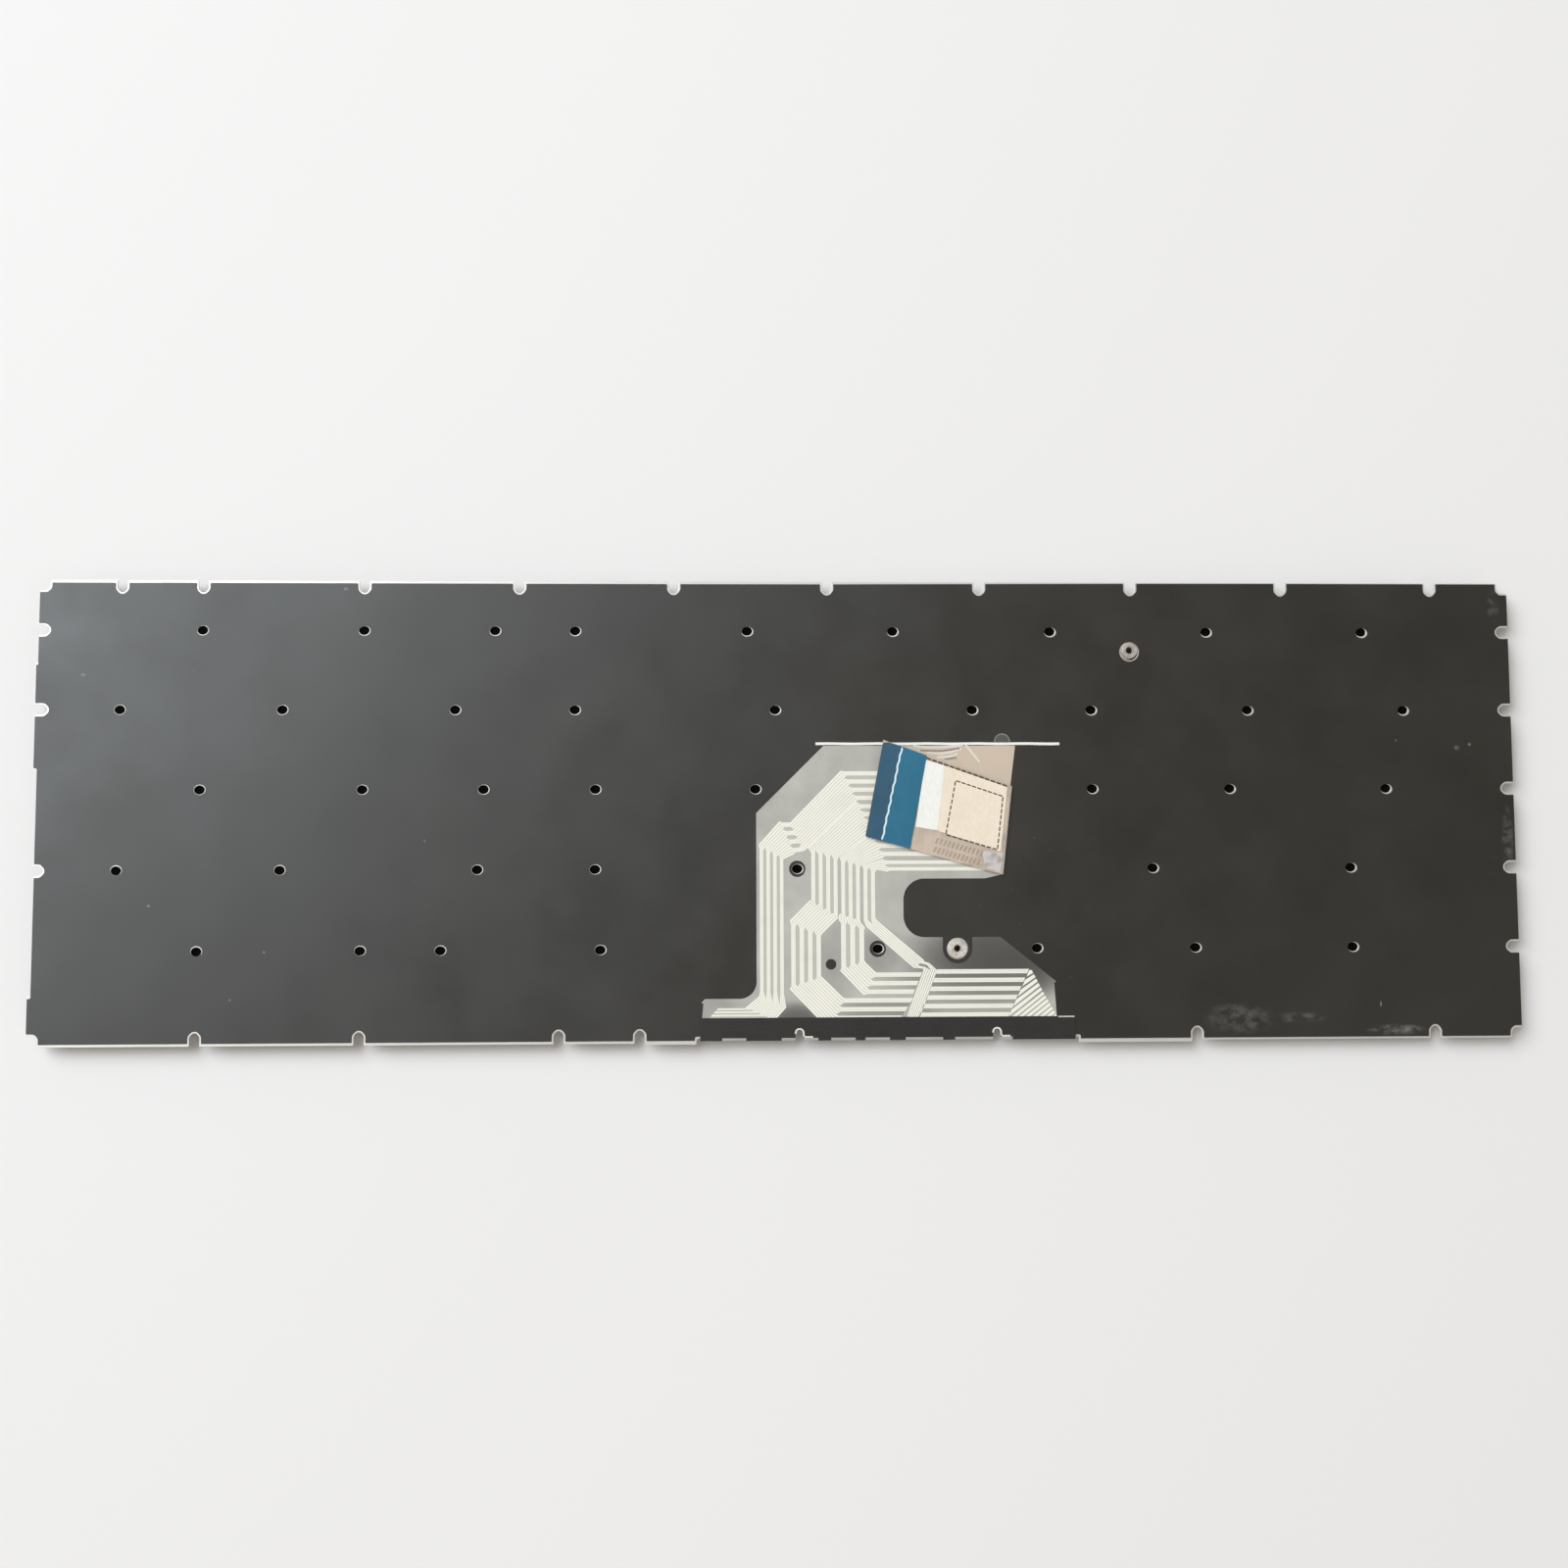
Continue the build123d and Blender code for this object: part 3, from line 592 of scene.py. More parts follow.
def rivet_loops(node, height):
    """Outline of a sheet and the middles of its rivet holes, without the boss holes."""
    outline, *holes = flat_loops(node, height)
    places = [middle(h) for h in holes]
    near_boss = 2.0
    return outline, [p for p in places if all((p - b).length > near_boss for b in bosses())]


def plate_edge(point):
    """Point of the plate's outline; the lower edge is let down a little left of the tail."""
    nearest, farthest, let_down = 0.3, 0.6, 0.18
    x, y = point
    if x < 0 and nearest < y - PLATE_LOW.y < farthest:
        y -= let_down
    return Vector((x, y))


class KEYBOARD_OT_plate(bpy.types.Operator):
    """Make the steel plate with oval rivet holes and rounded notches"""

    bl_idname = "keyboard.plate"
    bl_label = "Support Plate"

    def execute(self, context):
        outline, holes = rivet_loops("support_plate", PLATE_HIGH.z)
        outline = [plate_edge(p) for p in outline]
        loops = [rounded(outline, in_mm(sizes().sheet_round), outer=in_mm(sizes().sheet_corner))]
        loops += [oval(p, in_mm(sizes().rivet_hole)) for p in holes]
        shank = 1.62
        loops += [circle(p, shank) for p in bosses()]
        mesh = sheet_mesh("support_plate_steel", loops, PLATE_LOW.z, PLATE_HIGH.z, 0.06)
        steel = finish_steel("plate_bright_steel", colours().steel, 0.4, 0.5)
        piece(mesh.name, mesh, [steel], replaces=["support_plate"])
        return {"FINISHED"}


def film_edge(point):
    """Point of the film's outline, drawn out at the two ends and set off the long edges."""
    far_end, drawn_out = 175.0, 0.3
    long_edge, top_back, bottom_back = 53.9, 0.25, 0.05
    top_regained, regained_over = 0.45, 100.0
    x, y = point
    if y > long_edge:
        y += top_regained * min(max(x, 0.0) / regained_over, 1.0) - top_back
    elif y < -long_edge:
        y += bottom_back
    if abs(x) > far_end:
        x += math.copysign(drawn_out, x)
    return Vector((x, y))


def film_cut(hole):
    """Middle of the film's cut for a rivet hole; the film was laid on a little turned."""
    shift = in_mm(sizes().film_shift)
    along, across = hole.x / FILM_HIGH.x, hole.y / FILM_HIGH.y
    to_right = 0.55 + 0.6 * along
    upwards = -0.2 - 0.85 * along - 0.7 * across
    return hole + Vector((to_right, upwards)) * shift


class KEYBOARD_OT_film(bpy.types.Operator):
    """Make the black back film, cut a little off the middle of each rivet hole"""

    bl_idname = "keyboard.film"
    bl_label = "Back Film"

    def execute(self, context):
        outline, holes = rivet_loops("back_film", FILM_HIGH.z)
        outline = [film_edge(p) for p in outline]
        loops = [rounded(outline, in_mm(sizes().sheet_round), outer=in_mm(sizes().sheet_corner))]
        loops += [oval(film_cut(p), in_mm(sizes().film_hole)) for p in holes]
        lower_opening, upper_opening = 2.55, 1.9
        lower, upper = bosses()
        loops += [circle(lower, lower_opening), circle(upper, upper_opening)]
        mesh = sheet_mesh("back_film_black", loops, FILM_LOW.z, FILM_HIGH.z, 0.03)
        piece(mesh.name, mesh, [finish_film()], replaces=["back_film"])
        # Near-black discs under the rivet holes are painted shade, so the holes read dark like the shadowed
        # gap below them.
        back, thick = 1.7, 0.1
        under = PLATE_LOW.z - 0.05
        meshes = [sheet_mesh("back", [circle(p, back)], under - thick, under) for p in holes]
        mesh = joined("rivet_hole_shade_discs", meshes)
        dark = finish_plain("hole_shade_black", (0.002, 0.002, 0.002), 0.85, Specular_IOR_Level=0.05)
        piece(mesh.name, mesh, [dark])
        return {"FINISHED"}


def lathe(name, profile, steps=48):
    """Closed ring turned about Z from a closed profile of radius and height."""
    points, faces = [], []
    count = len(profile)
    for i in range(steps):
        angle = math.tau * i / steps
        points += [(r * math.cos(angle), r * math.sin(angle), z) for r, z in profile]
    for i in range(steps):
        for k in range(count):
            a, b = i * count, (i + 1) % steps * count
            n = (k + 1) % count
            faces.append((a + k, b + k, b + n, a + n))
    return mesh_of(name, points, faces)


class KEYBOARD_OT_bosses(bpy.types.Operator):
    """Make the two screw bosses with a chamfered rim and a threaded bore, one on a thin ring"""

    bl_idname = "keyboard.bosses"
    bl_label = "Screw Bosses"

    def execute(self, context):
        bore = in_mm(sizes().boss_bore)
        low, seat, top = BOSS_LOW.z, PLATE_HIGH.z, BOSS_HIGH.z
        shank, edge, thread = 1.6, 0.14, 0.2
        bored = [(bore + 0.3, top), (bore + 0.24, top - 0.08), (bore + 0.04, top - 0.34)]
        depth = top - 0.4
        crest = True
        while depth > low + thread / 2:
            bored.append((bore if crest else bore + 0.12, depth))
            crest = not crest
            depth -= thread / 2
        bored.append((bore + 0.12, low))
        bright = finish_turned("boss_turned_steel", colours().boss)
        worn_shade = 0.72
        worn = finish_turned("boss_worn_steel", tuple(c * worn_shade for c in colours().boss))
        lower, upper = bosses()
        off_centre, ring_off_centre = Vector((0.3, 0.24)), Vector((0.22, -0.12))
        for name, flange, finish, centre in (
            ("screw_boss_lower", 2.35, bright, lower),
            ("screw_boss_upper", 1.95, worn, upper + off_centre),
        ):
            rim = [(shank, low), (shank, seat), (flange, seat)]
            rim += [(flange, top - edge), (flange - edge, top)]
            mesh = smooth_over(lathe(name, rim + bored))
            piece(name, mesh, [finish], place=(*centre, 0.0), replaces=["screw_bosses"])
        inner, outer, rise = 2.08, 2.36, 0.12
        foot = FILM_HIGH.z
        ring = [(inner, foot), (outer, foot), (outer, foot + rise), (inner, foot + rise)]
        mesh = smooth_over(lathe("boss_seat_ring", ring))
        piece(mesh.name, mesh, [worn], place=(*(upper + ring_off_centre), 0.0))
        return {"FINISHED"}


LOWER_BOSS = bosses()[0]

# Places on the tail, in millimetres from the lower boss.
# Dark patches on the tail, both black film seen through and painted shade where the sheen fades: middle, half
# size and share.
CLEAR_AND_SHADE_PATCHES = (
    (8.0, -2.5, 24.0, 14.0, 0.95),
    (16.0, -5.0, 14.0, 8.0, 0.6),
    (-60.0, -14.0, 14.0, 5.0, 0.25),
    (-38.0, -16.5, 9.0, 5.0, 0.85),
    (-19.0, -16.5, 7.0, 3.5, 0.7),
    (-29.5, -4.0, 7.0, 13.0, 0.2),
    (-19.0, -1.0, 7.0, 7.0, 0.3),
)
# Patches of painted shade on the lower tracks, where the sheen on the tail fades: middle, half size and
# share.
SHADED_TRACKS = (
    (10.0, -5.5, 34.0, 9.0, 0.95),
    (-18.0, -16.0, 16.0, 8.0, 0.6),
    (4.0, -15.0, 26.0, 6.0, 0.35),
)
CREASED_PATCH = (6.0, 46.0, 24.0, 12.0)
TAPE_TABS = (
    (-61.0, -55.9), (-50.2, -41.9), (-33.2, -30.2), (-24.4, -22.1),
    (-16.3, -12.6), (-3.7, -0.9), (12.8, 27.8),
)
FOOT_NOTCHES = (-37.62, 9.12)
NOTCH_HALF = 0.95
NOTCH_RISE = 2.1


def on_crown(centre, crown, angle):
    """Point on the round end of a notch in the tail's foot."""
    return Vector((centre + NOTCH_HALF * math.cos(angle), crown + NOTCH_HALF * math.sin(angle)))


def ordered_corners(loop):
    """Corners of a leaning strip: left top, right top, right bottom, left bottom."""
    by_height = sorted(loop, key=lambda p: p.y)
    left_bottom, right_bottom = sorted(by_height[:2], key=lambda p: p.x)
    left_top, right_top = sorted(by_height[2:], key=lambda p: p.x)
    return left_top, right_top, right_bottom, left_bottom


def flap_corners():
    """Corners of the folded end: the contact end's top, the fold's two ends, the contact end's bottom."""
    return ordered_corners(flat_loops("membrane_circuit", FLAP_TOP_Z)[0])


def on_tail(point):
    """Point given from the lower boss, in the frame."""
    return LOWER_BOSS + Vector(point)


def notched(start, end, floor_y):
    """Points along the tail's lower edge, from left to right, up and round each notch."""
    points = [Vector((start, floor_y))]
    for x in FOOT_NOTCHES:
        centre = LOWER_BOSS.x + x
        crown = floor_y + NOTCH_RISE - NOTCH_HALF
        points.append(Vector((centre - NOTCH_HALF, floor_y)))
        steps = 8
        for i in range(steps + 1):
            angle = math.pi * (1 - i / steps)
            points.append(on_crown(centre, crown, angle))
        points.append(Vector((centre + NOTCH_HALF, floor_y)))
    return points + [Vector((end, floor_y))]


def half_ring(start, end, outward, low, high, steps=10):
    """Half-round bend of the tail's film along a line, from the lower sheet to the upper one."""
    outer = (high - low) / 2
    inner = outer - TAIL_FILM
    centre = (low + high) / 2
    side = outward.normalized()
    points, faces = [], []
    for i in range(steps + 1):
        angle = math.pi * (i / steps - 0.5)
        for radius in (inner, outer):
            for foot in (start, end):
                place = foot + side * (radius * math.cos(angle))
                points.append((place.x, place.y, centre + radius * math.sin(angle)))
    for i in range(steps):
        a, b = 4 * i, 4 * i + 4
        faces += [(a, b, b + 1, a + 1), (a + 2, a + 3, b + 3, b + 2)]
        faces += [(a, a + 2, b + 2, b), (a + 1, b + 1, b + 3, a + 3)]
    last = 4 * steps
    faces += [(0, 1, 3, 2), (last, last + 2, last + 3, last + 1)]
    return smooth_over(mesh_of("bend", points, faces))


class KEYBOARD_OT_membrane(bpy.types.Operator):
    """Make the membrane: the sheet under the plate, the tail on the back and its folded end"""

    bl_idname = "keyboard.membrane"
    bl_label = "Membrane Circuit"

    def execute(self, context):
        sheet_top = PLATE_LOW.z
        outline, *cuts = flat_loops("membrane_circuit", sheet_top)
        sheet = sheet_mesh(
            "membrane_sheet_film", [rounded(outline, 1.0, 3)] + cuts, MEMBRANE_LOW.z, sheet_top
        )
        hazy = finish_plain("sheet_hazy_film", colours().membrane, 0.32, 0.5, 0.02, 0.85, Coat_Weight=0.25)
        piece(sheet.name, sheet, [hazy], replaces=["membrane_circuit"])
        meshes = []
        outline, *holes = flat_loops("membrane_circuit", TAIL_TOP_Z)
        bend_y = min(p.y for p in outline)
        foot = [p.x for p in outline if p.y < bend_y + 0.01]
        left, right = min(foot), max(foot)
        start = next(i for i, p in enumerate(outline) if p.y < bend_y + 0.01 and p.x == right)
        outline = outline[start:] + outline[:start]
        if outline[1].x == left:
            outline = [outline[0]] + outline[:0:-1]
        upper = [p for p in outline if p.y > bend_y + 0.01]
        shape = rounded(upper, 0.3, 3) + notched(left, right, bend_y)
        hole_rounds = [circle(middle(h), perimeter(h) / math.tau) for h in holes]
        meshes.append(sheet_mesh("tail", [shape] + hole_rounds, FILM_HIGH.z, TAIL_TOP_Z))
        neck_top = MEMBRANE_LOW.z + TAIL_FILM
        inset = 5.0
        neck = notched(left, right, bend_y)
        neck += [Vector((right, bend_y + inset)), Vector((left, bend_y + inset))]
        meshes.append(sheet_mesh("neck", [neck], MEMBRANE_LOW.z, neck_top))
        notch_sides = [LOWER_BOSS.x + x + side * NOTCH_HALF for x in FOOT_NOTCHES for side in (-1, 1)]
        stops = [left, *notch_sides, right]
        for x0, x1 in zip(stops[::2], stops[1::2]):
            ends = Vector((x0, bend_y)), Vector((x1, bend_y))
            meshes.append(half_ring(*ends, Vector((0, -1)), MEMBRANE_LOW.z, TAIL_TOP_Z))
        _, fold_high, fold_low, _ = flap_corners()
        along = fold_high - fold_low
        meshes.append(half_ring(fold_low, fold_high, Vector((along.y, -along.x)), FILM_HIGH.z, FLAP_TOP_Z))
        mesh = joined("membrane_tail_film", meshes)
        piece(mesh.name, mesh, [finish_membrane()], replaces=["membrane_circuit"])
        flap = sheet_mesh("tail_flap_film", [flap_corners()], FLAP_TOP_Z - TAIL_FILM, FLAP_TOP_Z)
        piece(flap.name, flap, [finish_flap()], replaces=["membrane_circuit"])
        return {"FINISHED"}


class KEYBOARD_OT_creases(bpy.types.Operator):
    """Paint glints and shade along the creases of the tail's upper corner, crumple the corner of its fold in
    a pale tone that is partly painted highlight, and add its clear round ear
    """

    bl_idname = "keyboard.creases"
    bl_label = "Tail Creases"

    def execute(self, context):
        # Thin pale lines are painted glints along the creases; thin dark lines are painted shade in them.
        for name, lines, width, tone in (
            ("tail_crease_glints", CREASE_GLINT_LINES, 0.5, (0.80, 0.75, 0.68)),
            ("tail_crease_shade", CREASE_SHADE_LINES, 0.32, (0.26, 0.22, 0.18)),
        ):
            meshes = [strip([on_tail(p) for p in line], width, TAIL_TOP_Z, 0.03) for line in lines]
            mesh = joined(name, meshes)
            piece(name, mesh, [finish_plain(f"{name}_film", tone, 0.3, Coat_Weight=0.4)])
        corners = [on_tail(p) for p in CRUMPLED_CORNER]
        steps = 18
        points, faces = [], []
        for i in range(steps + 1):
            for j in range(steps + 1):
                u, v = i / steps, j / steps
                spot = corners[0].lerp(corners[1], u).lerp(corners[3].lerp(corners[2], u), v)
                wave = math.sin(7.0 * u + 4.0 * v) * math.sin(9.0 * v - 3.0 * u)
                rise = 0.16 * math.sin(math.pi * u) * math.sin(math.pi * v) * (0.6 + wave)
                points.append((spot.x, spot.y, FLAP_TOP_Z + 0.01 + max(0.0, rise)))
        row = steps + 1
        for i in range(steps):
            for j in range(steps):
                k = i * row + j
                faces.append((k, k + 1, k + row + 1, k + row))
        mesh = smooth_over(mesh_of("fold_crumpled_corner", points, faces))
        # Pale tone of the crumpled corner: whitish crumpled film, partly painted highlight.
        made = Finish(
            "fold_film_painted_highlight", (0.80, 0.74, 0.72), 0.15, Coat_Weight=0.8, Coat_Roughness=0.08, Alpha=0.8
        )
        folds = made.noise(0.5, 3.0)
        made.tint(made.between(folds, 0.5, 0.68), (0.50, 0.46, 0.46))
        piece(mesh.name, mesh, [made.bump(folds, 0.2, 0.8).material])
        loops = [circle(on_tail(EAR), radius) for radius in (1.9, 1.66)]
        for name, parts, clear in (("tail_ear_rim", loops, 0.5), ("tail_ear_pane", loops[1:], 0.14)):
            mesh = sheet_mesh(name, parts, FILM_HIGH.z, FILM_HIGH.z + 0.08)
            film = finish_plain(f"{name}_film", (0.46, 0.45, 0.43), 0.25, Alpha=clear)
            piece(name, mesh, [film])
        return {"FINISHED"}


def even(count):
    """Places of tracks spread evenly over a bundle's width, with their half width."""
    return [(i + 0.5) / count for i in range(count)], 0.4 / count


def striped(count):
    """Places of tracks drawn together by threes, with their half width."""
    groups = count // 3
    return [(i // 3 + 0.5 + 0.175 * (i % 3 - 1)) / groups for i in range(count)], 0.078 / groups


def hatched(count):
    """Places of tracks spread evenly with clear gaps, with their half width."""
    return [(i + 0.5) / count for i in range(count)], 0.33 / count


def whole(count):
    """One place over a bundle from its first track to its last, with its half width."""
    return [0.5], 0.5 - 0.75 / count


# Bundles of tracks from the lower boss: each line across a bundle has its two ends and its spacing.
TRACK_BUNDLES = (
    (12, (
        ((-56.7, -13.6), (-59.4, -16.6), striped),
        ((-50.9, -13.6), (-44.4, -16.6), striped),
        ((-50.1, -13.4), (-43.2, -16.5), even),
        ((-47.2, -11.0), (-40.7, -13.7), even),
        ((-47.3, -9.7), (-40.9, -10.4), striped),
        ((-47.3, 24.0), (-40.9, 21.0), striped),
        ((-47.2, 24.8), (-40.7, 21.5), even),
        ((-42.2, 30.4), (-38.7, 22.4), even),
        ((-41.8, 30.5), (-38.3, 22.4), striped),
        ((-40.1, 30.5), (-36.9, 22.6), striped),
        ((-39.7, 30.0), (-36.15, 23.25), even),
        ((-27.6, 42.4), (-23.95, 34.9), even),
        ((-26.9, 42.7), (-23.1, 34.9), striped),
        ((-16.0, 42.7), (-16.0, 34.9), striped),
    )),
    (12, (
        ((6.8, 34.8), (6.8, 27.3), striped),
        ((-23.1, 34.8), (-19.5, 27.3), striped),
        ((-24.0, 35.0), (-20.3, 27.3), even),
        ((-35.5, 24.0), (-28.1, 21.7), even),
        ((-35.1, 23.0), (-28.0, 20.9), striped),
        ((-35.1, 11.9), (-28.0, 7.7), striped),
        ((-35.3, 11.4), (-28.3, 7.3), even),
        ((-39.9, 6.8), (-32.3, 3.4), even),
        ((-40.0, 6.0), (-32.0, 2.6), striped),
        ((-40.0, -8.8), (-32.0, -6.2), striped),
        ((-40.0, -9.4), (-32.1, -6.6), even),
        ((-30.6, -19.2), (-27.2, -11.4), even),
        ((-29.9, -19.3), (-26.4, -11.1), striped),
        ((-15.6, -19.3), (-10.3, -11.1), striped),
    )),
    (9, (
        ((6.8, 27.4), (6.8, 21.5), striped),
        ((-19.6, 27.4), (-16.9, 21.5), striped),
        ((-20.4, 27.5), (-17.7, 21.4), even),
        ((-28.0, 21.7), (-22.7, 19.9), even),
        ((-28.0, 20.8), (-22.7, 19.0), striped),
        ((-28.0, 8.6), (-22.7, 6.7), striped),
        ((-28.2, 8.2), (-23.0, 6.4), even),
        ((-28.3, 6.9), (-21.9, 4.9), even),
        ((-28.2, 6.3), (-21.7, 4.3), striped),
        ((-28.2, -4.6), (-21.7, -2.5), striped),
        ((-28.0, -5.2), (-21.9, -3.1), even),
        ((-22.5, -10.9), (-19.8, -5.2), even),
        ((-21.8, -11.1), (-19.0, -5.1), striped),
        ((-10.9, -11.1), (-8.3, -5.1), striped),
    )),
    (6, (
        ((6.8, 21.3), (6.8, 18.1), striped),
        ((-17.0, 21.3), (-15.8, 18.1), striped),
        ((-17.7, 21.3), (-16.5, 18.2), even),
        ((-22.7, 19.9), (-19.1, 18.7), even),
        ((-22.7, 19.0), (-19.1, 17.9), striped),
        ((-22.7, 6.6), (-19.1, 7.4), striped),
        ((-21.7, 5.2), (-18.9, 6.6), even),
        ((-10.5, -4.6), (-8.1, -2.6), even),
        ((-10.2, -4.8), (-7.8, -2.7), striped),
        ((-8.7, -4.9), (-6.4, -3.3), striped),
        ((-8.2, -5.0), (-4.9, -5.1), even),
        ((-12.2, -15.9), (-9.3, -16.5), even),
    )),
    (18, (
        ((-4.7, -4.4), (-9.6, -16.6), striped),
        ((17.2, -4.4), (11.6, -16.6), striped),
    )),
    (5, (
        ((17.2, -4.8), (11.8, -16.4), hatched),
        ((17.5, -5.0), (20.1, -10.1), hatched),
    )),
    (7, (
        ((11.8, -16.6), (23.2, -16.6), hatched),
        ((20.1, -10.1), (23.6, -16.3), hatched),
    )),
)


def ribbons(name, bundles, low, thickness):
    """Flat raised strips that run from line to line across each bundle."""
    points, faces = [], []
    for count, lines in bundles:
        places, half = lines[0][2](count)
        for i in range(len(places)):
            first = len(points)
            for a, b, spacing in lines:
                places, half = spacing(count)
                for share in (places[i] - half, places[i] + half):
                    spot = on_tail(Vector(a).lerp(Vector(b), share))
                    points += [(spot.x, spot.y, low), (spot.x, spot.y, low + thickness)]
            for k in range(len(lines) - 1):
                p, q = first + 4 * k, first + 4 * k + 4
                faces += [(p + 1, p + 3, q + 3, q + 1), (p, q, q + 2, p + 2)]
                faces += [(p, p + 1, q + 1, q), (p + 2, q + 2, q + 3, p + 3)]
            last = first + 4 * (len(lines) - 1)
            faces += [(first, first + 2, first + 3, first + 1), (last, last + 1, last + 3, last + 2)]
    return mesh_of(name, points, faces)


class KEYBOARD_OT_tracks(bpy.types.Operator):
    """Print the silver tracks on the tail, over the paler ones of its lower layer"""

    bl_idname = "keyboard.tracks"
    bl_label = "Silver Tracks"

    def execute(self, context):
        ink = in_mm(sizes().ink)
        lower = [(count, tuple((a, b, whole) for a, b, spacing in lines)) for count, lines in TRACK_BUNDLES]
        mesh = ribbons("tail_lower_tracks", lower, TAIL_TOP_Z, ink / 2)
        # The lower tracks carry patches of painted shade.
        seen_through = finish_silver("track_seen_through", colours().under, SHADED_TRACKS)
        piece(mesh.name, mesh, [seen_through])
        mesh = ribbons("tail_silver_tracks", TRACK_BUNDLES, TAIL_TOP_Z, ink)
        piece(mesh.name, mesh, [finish_silver("track_silver_ink", colours().silver)])
        return {"FINISHED"}


# Painted glints and painted shade along creases of the tail's upper corner, and the crumpled corner of its
# fold.
CREASE_GLINT_LINES = (
    ((-10.1, 48.3), (-6.6, 47.9), (-2.5, 48.0), (1.8, 48.5)),
    ((-6.8, 46.6), (-3.7, 46.4), (-0.9, 46.8), (1.5, 47.6)),
    ((-4.4, 45.5), (-1.8, 45.7), (0.6, 46.4)),
    ((2.5, 48.5), (4.2, 46.4), (5.8, 44.4)),
)
CREASE_SHADE_LINES = (
    ((-8.4, 47.2), (-3.2, 47.1), (1.0, 47.7)),
    ((-2.5, 45.1), (0.3, 45.4)),
)
CRUMPLED_CORNER = ((6.0, 23.2), (11.0, 22.6), (10.3, 17.9), (6.6, 19.2))
EAR = (11.3, 49.4)


def strip(points, width, low, thickness, name="strip"):
    """Flat raised line of even width along points in the frame."""
    corners, faces = [], []
    for i, p in enumerate(points):
        ahead = points[min(i + 1, len(points) - 1)] - points[max(i - 1, 0)]
        side = Vector((-ahead.y, ahead.x)).normalized() * (width / 2)
        for spot in (p - side, p + side):
            corners += [(spot.x, spot.y, low), (spot.x, spot.y, low + thickness)]
    for k in range(len(points) - 1):
        p, q = 4 * k, 4 * k + 4
        faces += [(p + 1, p + 3, q + 3, q + 1), (p, q, q + 2, p + 2)]
        faces += [(p, p + 1, q + 1, q), (p + 2, q + 2, q + 3, p + 3)]
    last = 4 * (len(points) - 1)
    faces += [(0, 2, 3, 1), (last, last + 1, last + 3, last + 2)]
    return mesh_of(name, corners, faces)


class KEYBOARD_OT_stiffener(bpy.types.Operator):
    """Make the blue stiffener: a strip and its darker border, with a white wavy seam between them"""

    bl_idname = "keyboard.stiffener"
    bl_label = "Tail Stiffener"

    def execute(self, context):
        outline = flat_loops("tail_stiffener", STIFFENER_HIGH.z)[0]
        near_top, far_top, far_bottom, near_bottom = ordered_corners(outline)
        seam_share_top, seam_share_bottom = 0.43, 0.37
        seam_top = near_top.lerp(far_top, seam_share_top)
        seam_bottom = near_bottom.lerp(far_bottom, seam_share_bottom)
        low, high = STIFFENER_LOW.z, STIFFENER_HIGH.z
        shoulder = near_top.lerp(near_bottom, 0.03)
        crown = near_top.lerp(seam_top, 0.3) - (near_top - near_bottom) * 0.006
        border = rounded([shoulder, crown, seam_top, seam_bottom, near_bottom], 0.6, 4)
        strip_loop = rounded([seam_top, far_top, far_bottom, seam_bottom], 0.3, 3)
        deep = finish_plain(
            "stiffener_deep_blue", colours().deep_blue, 0.42, 1.6, 0.015, 0.85, (1.0, 0.2, 1.0)
        )
        blue = finish_plain("stiffener_satin_blue", colours().blue, 0.4, 1.6, 0.015, 0.88, (1.0, 0.2, 1.0))
        mesh = sheet_mesh("tail_stiffener_border", [border], low, high - 0.06, 0.03)
        piece(mesh.name, mesh, [deep], replaces=["tail_stiffener"])
        mesh = sheet_mesh("tail_stiffener_strip", [strip_loop], low, high, 0.03)
        piece(mesh.name, mesh, [blue], replaces=["tail_stiffener"])
        steps, sway = 90, 0.085
        points = []
        for i in range(steps + 1):
            wobble = sway * (math.sin(i * 0.62) + 0.5 * math.sin(i * 0.23 + 1.0))
            points.append(seam_top.lerp(seam_bottom, 0.015 + 0.97 * i / steps) + Vector((wobble, 0.0)))
        mesh = strip(points, 0.42, high - 0.05, 0.07, "stiffener_seam")
        piece(mesh.name, mesh, [finish_paper("seam_pale_blue", (0.72, 0.90, 0.93))])
        return {"FINISHED"}


# Corners on the label, in millimetres from the lower boss.
LABEL_WHITE = ((-7.4, 44.9), (-2.7, 43.5), (-4.7, 28.0), (-9.8, 28.9))
LABEL_CREAM = ((-2.7, 43.5), (12.3, 38.3), (10.5, 22.9), (-4.7, 28.0))
LABEL_FRAME = ((-0.1, 39.9), (11.2, 36.1), (9.7, 23.4), (-2.6, 27.0))
LABEL_EDGE = ((-7.2, 45.4), (12.3, 38.5))
FLAP_MARKS = (((-5.2, 25.7), (6.4, 22.4)), ((-5.7, 23.6), (5.6, 20.3)))


def dashes(start, end, dash, pitch, width, low, turn=0.0):
    """Short flat marks along a line, or across it when turned."""
    count = round((end - start).length / pitch)
    ahead = (end - start).normalized()
    ahead.rotate(Matrix.Rotation(turn, 2))
    made = []
    for i in range(count):
        foot = start.lerp(end, (i + 0.5) / count)
        made.append(strip([foot - ahead * dash / 2, foot + ahead * dash / 2], width, low, 0.015))
    return made


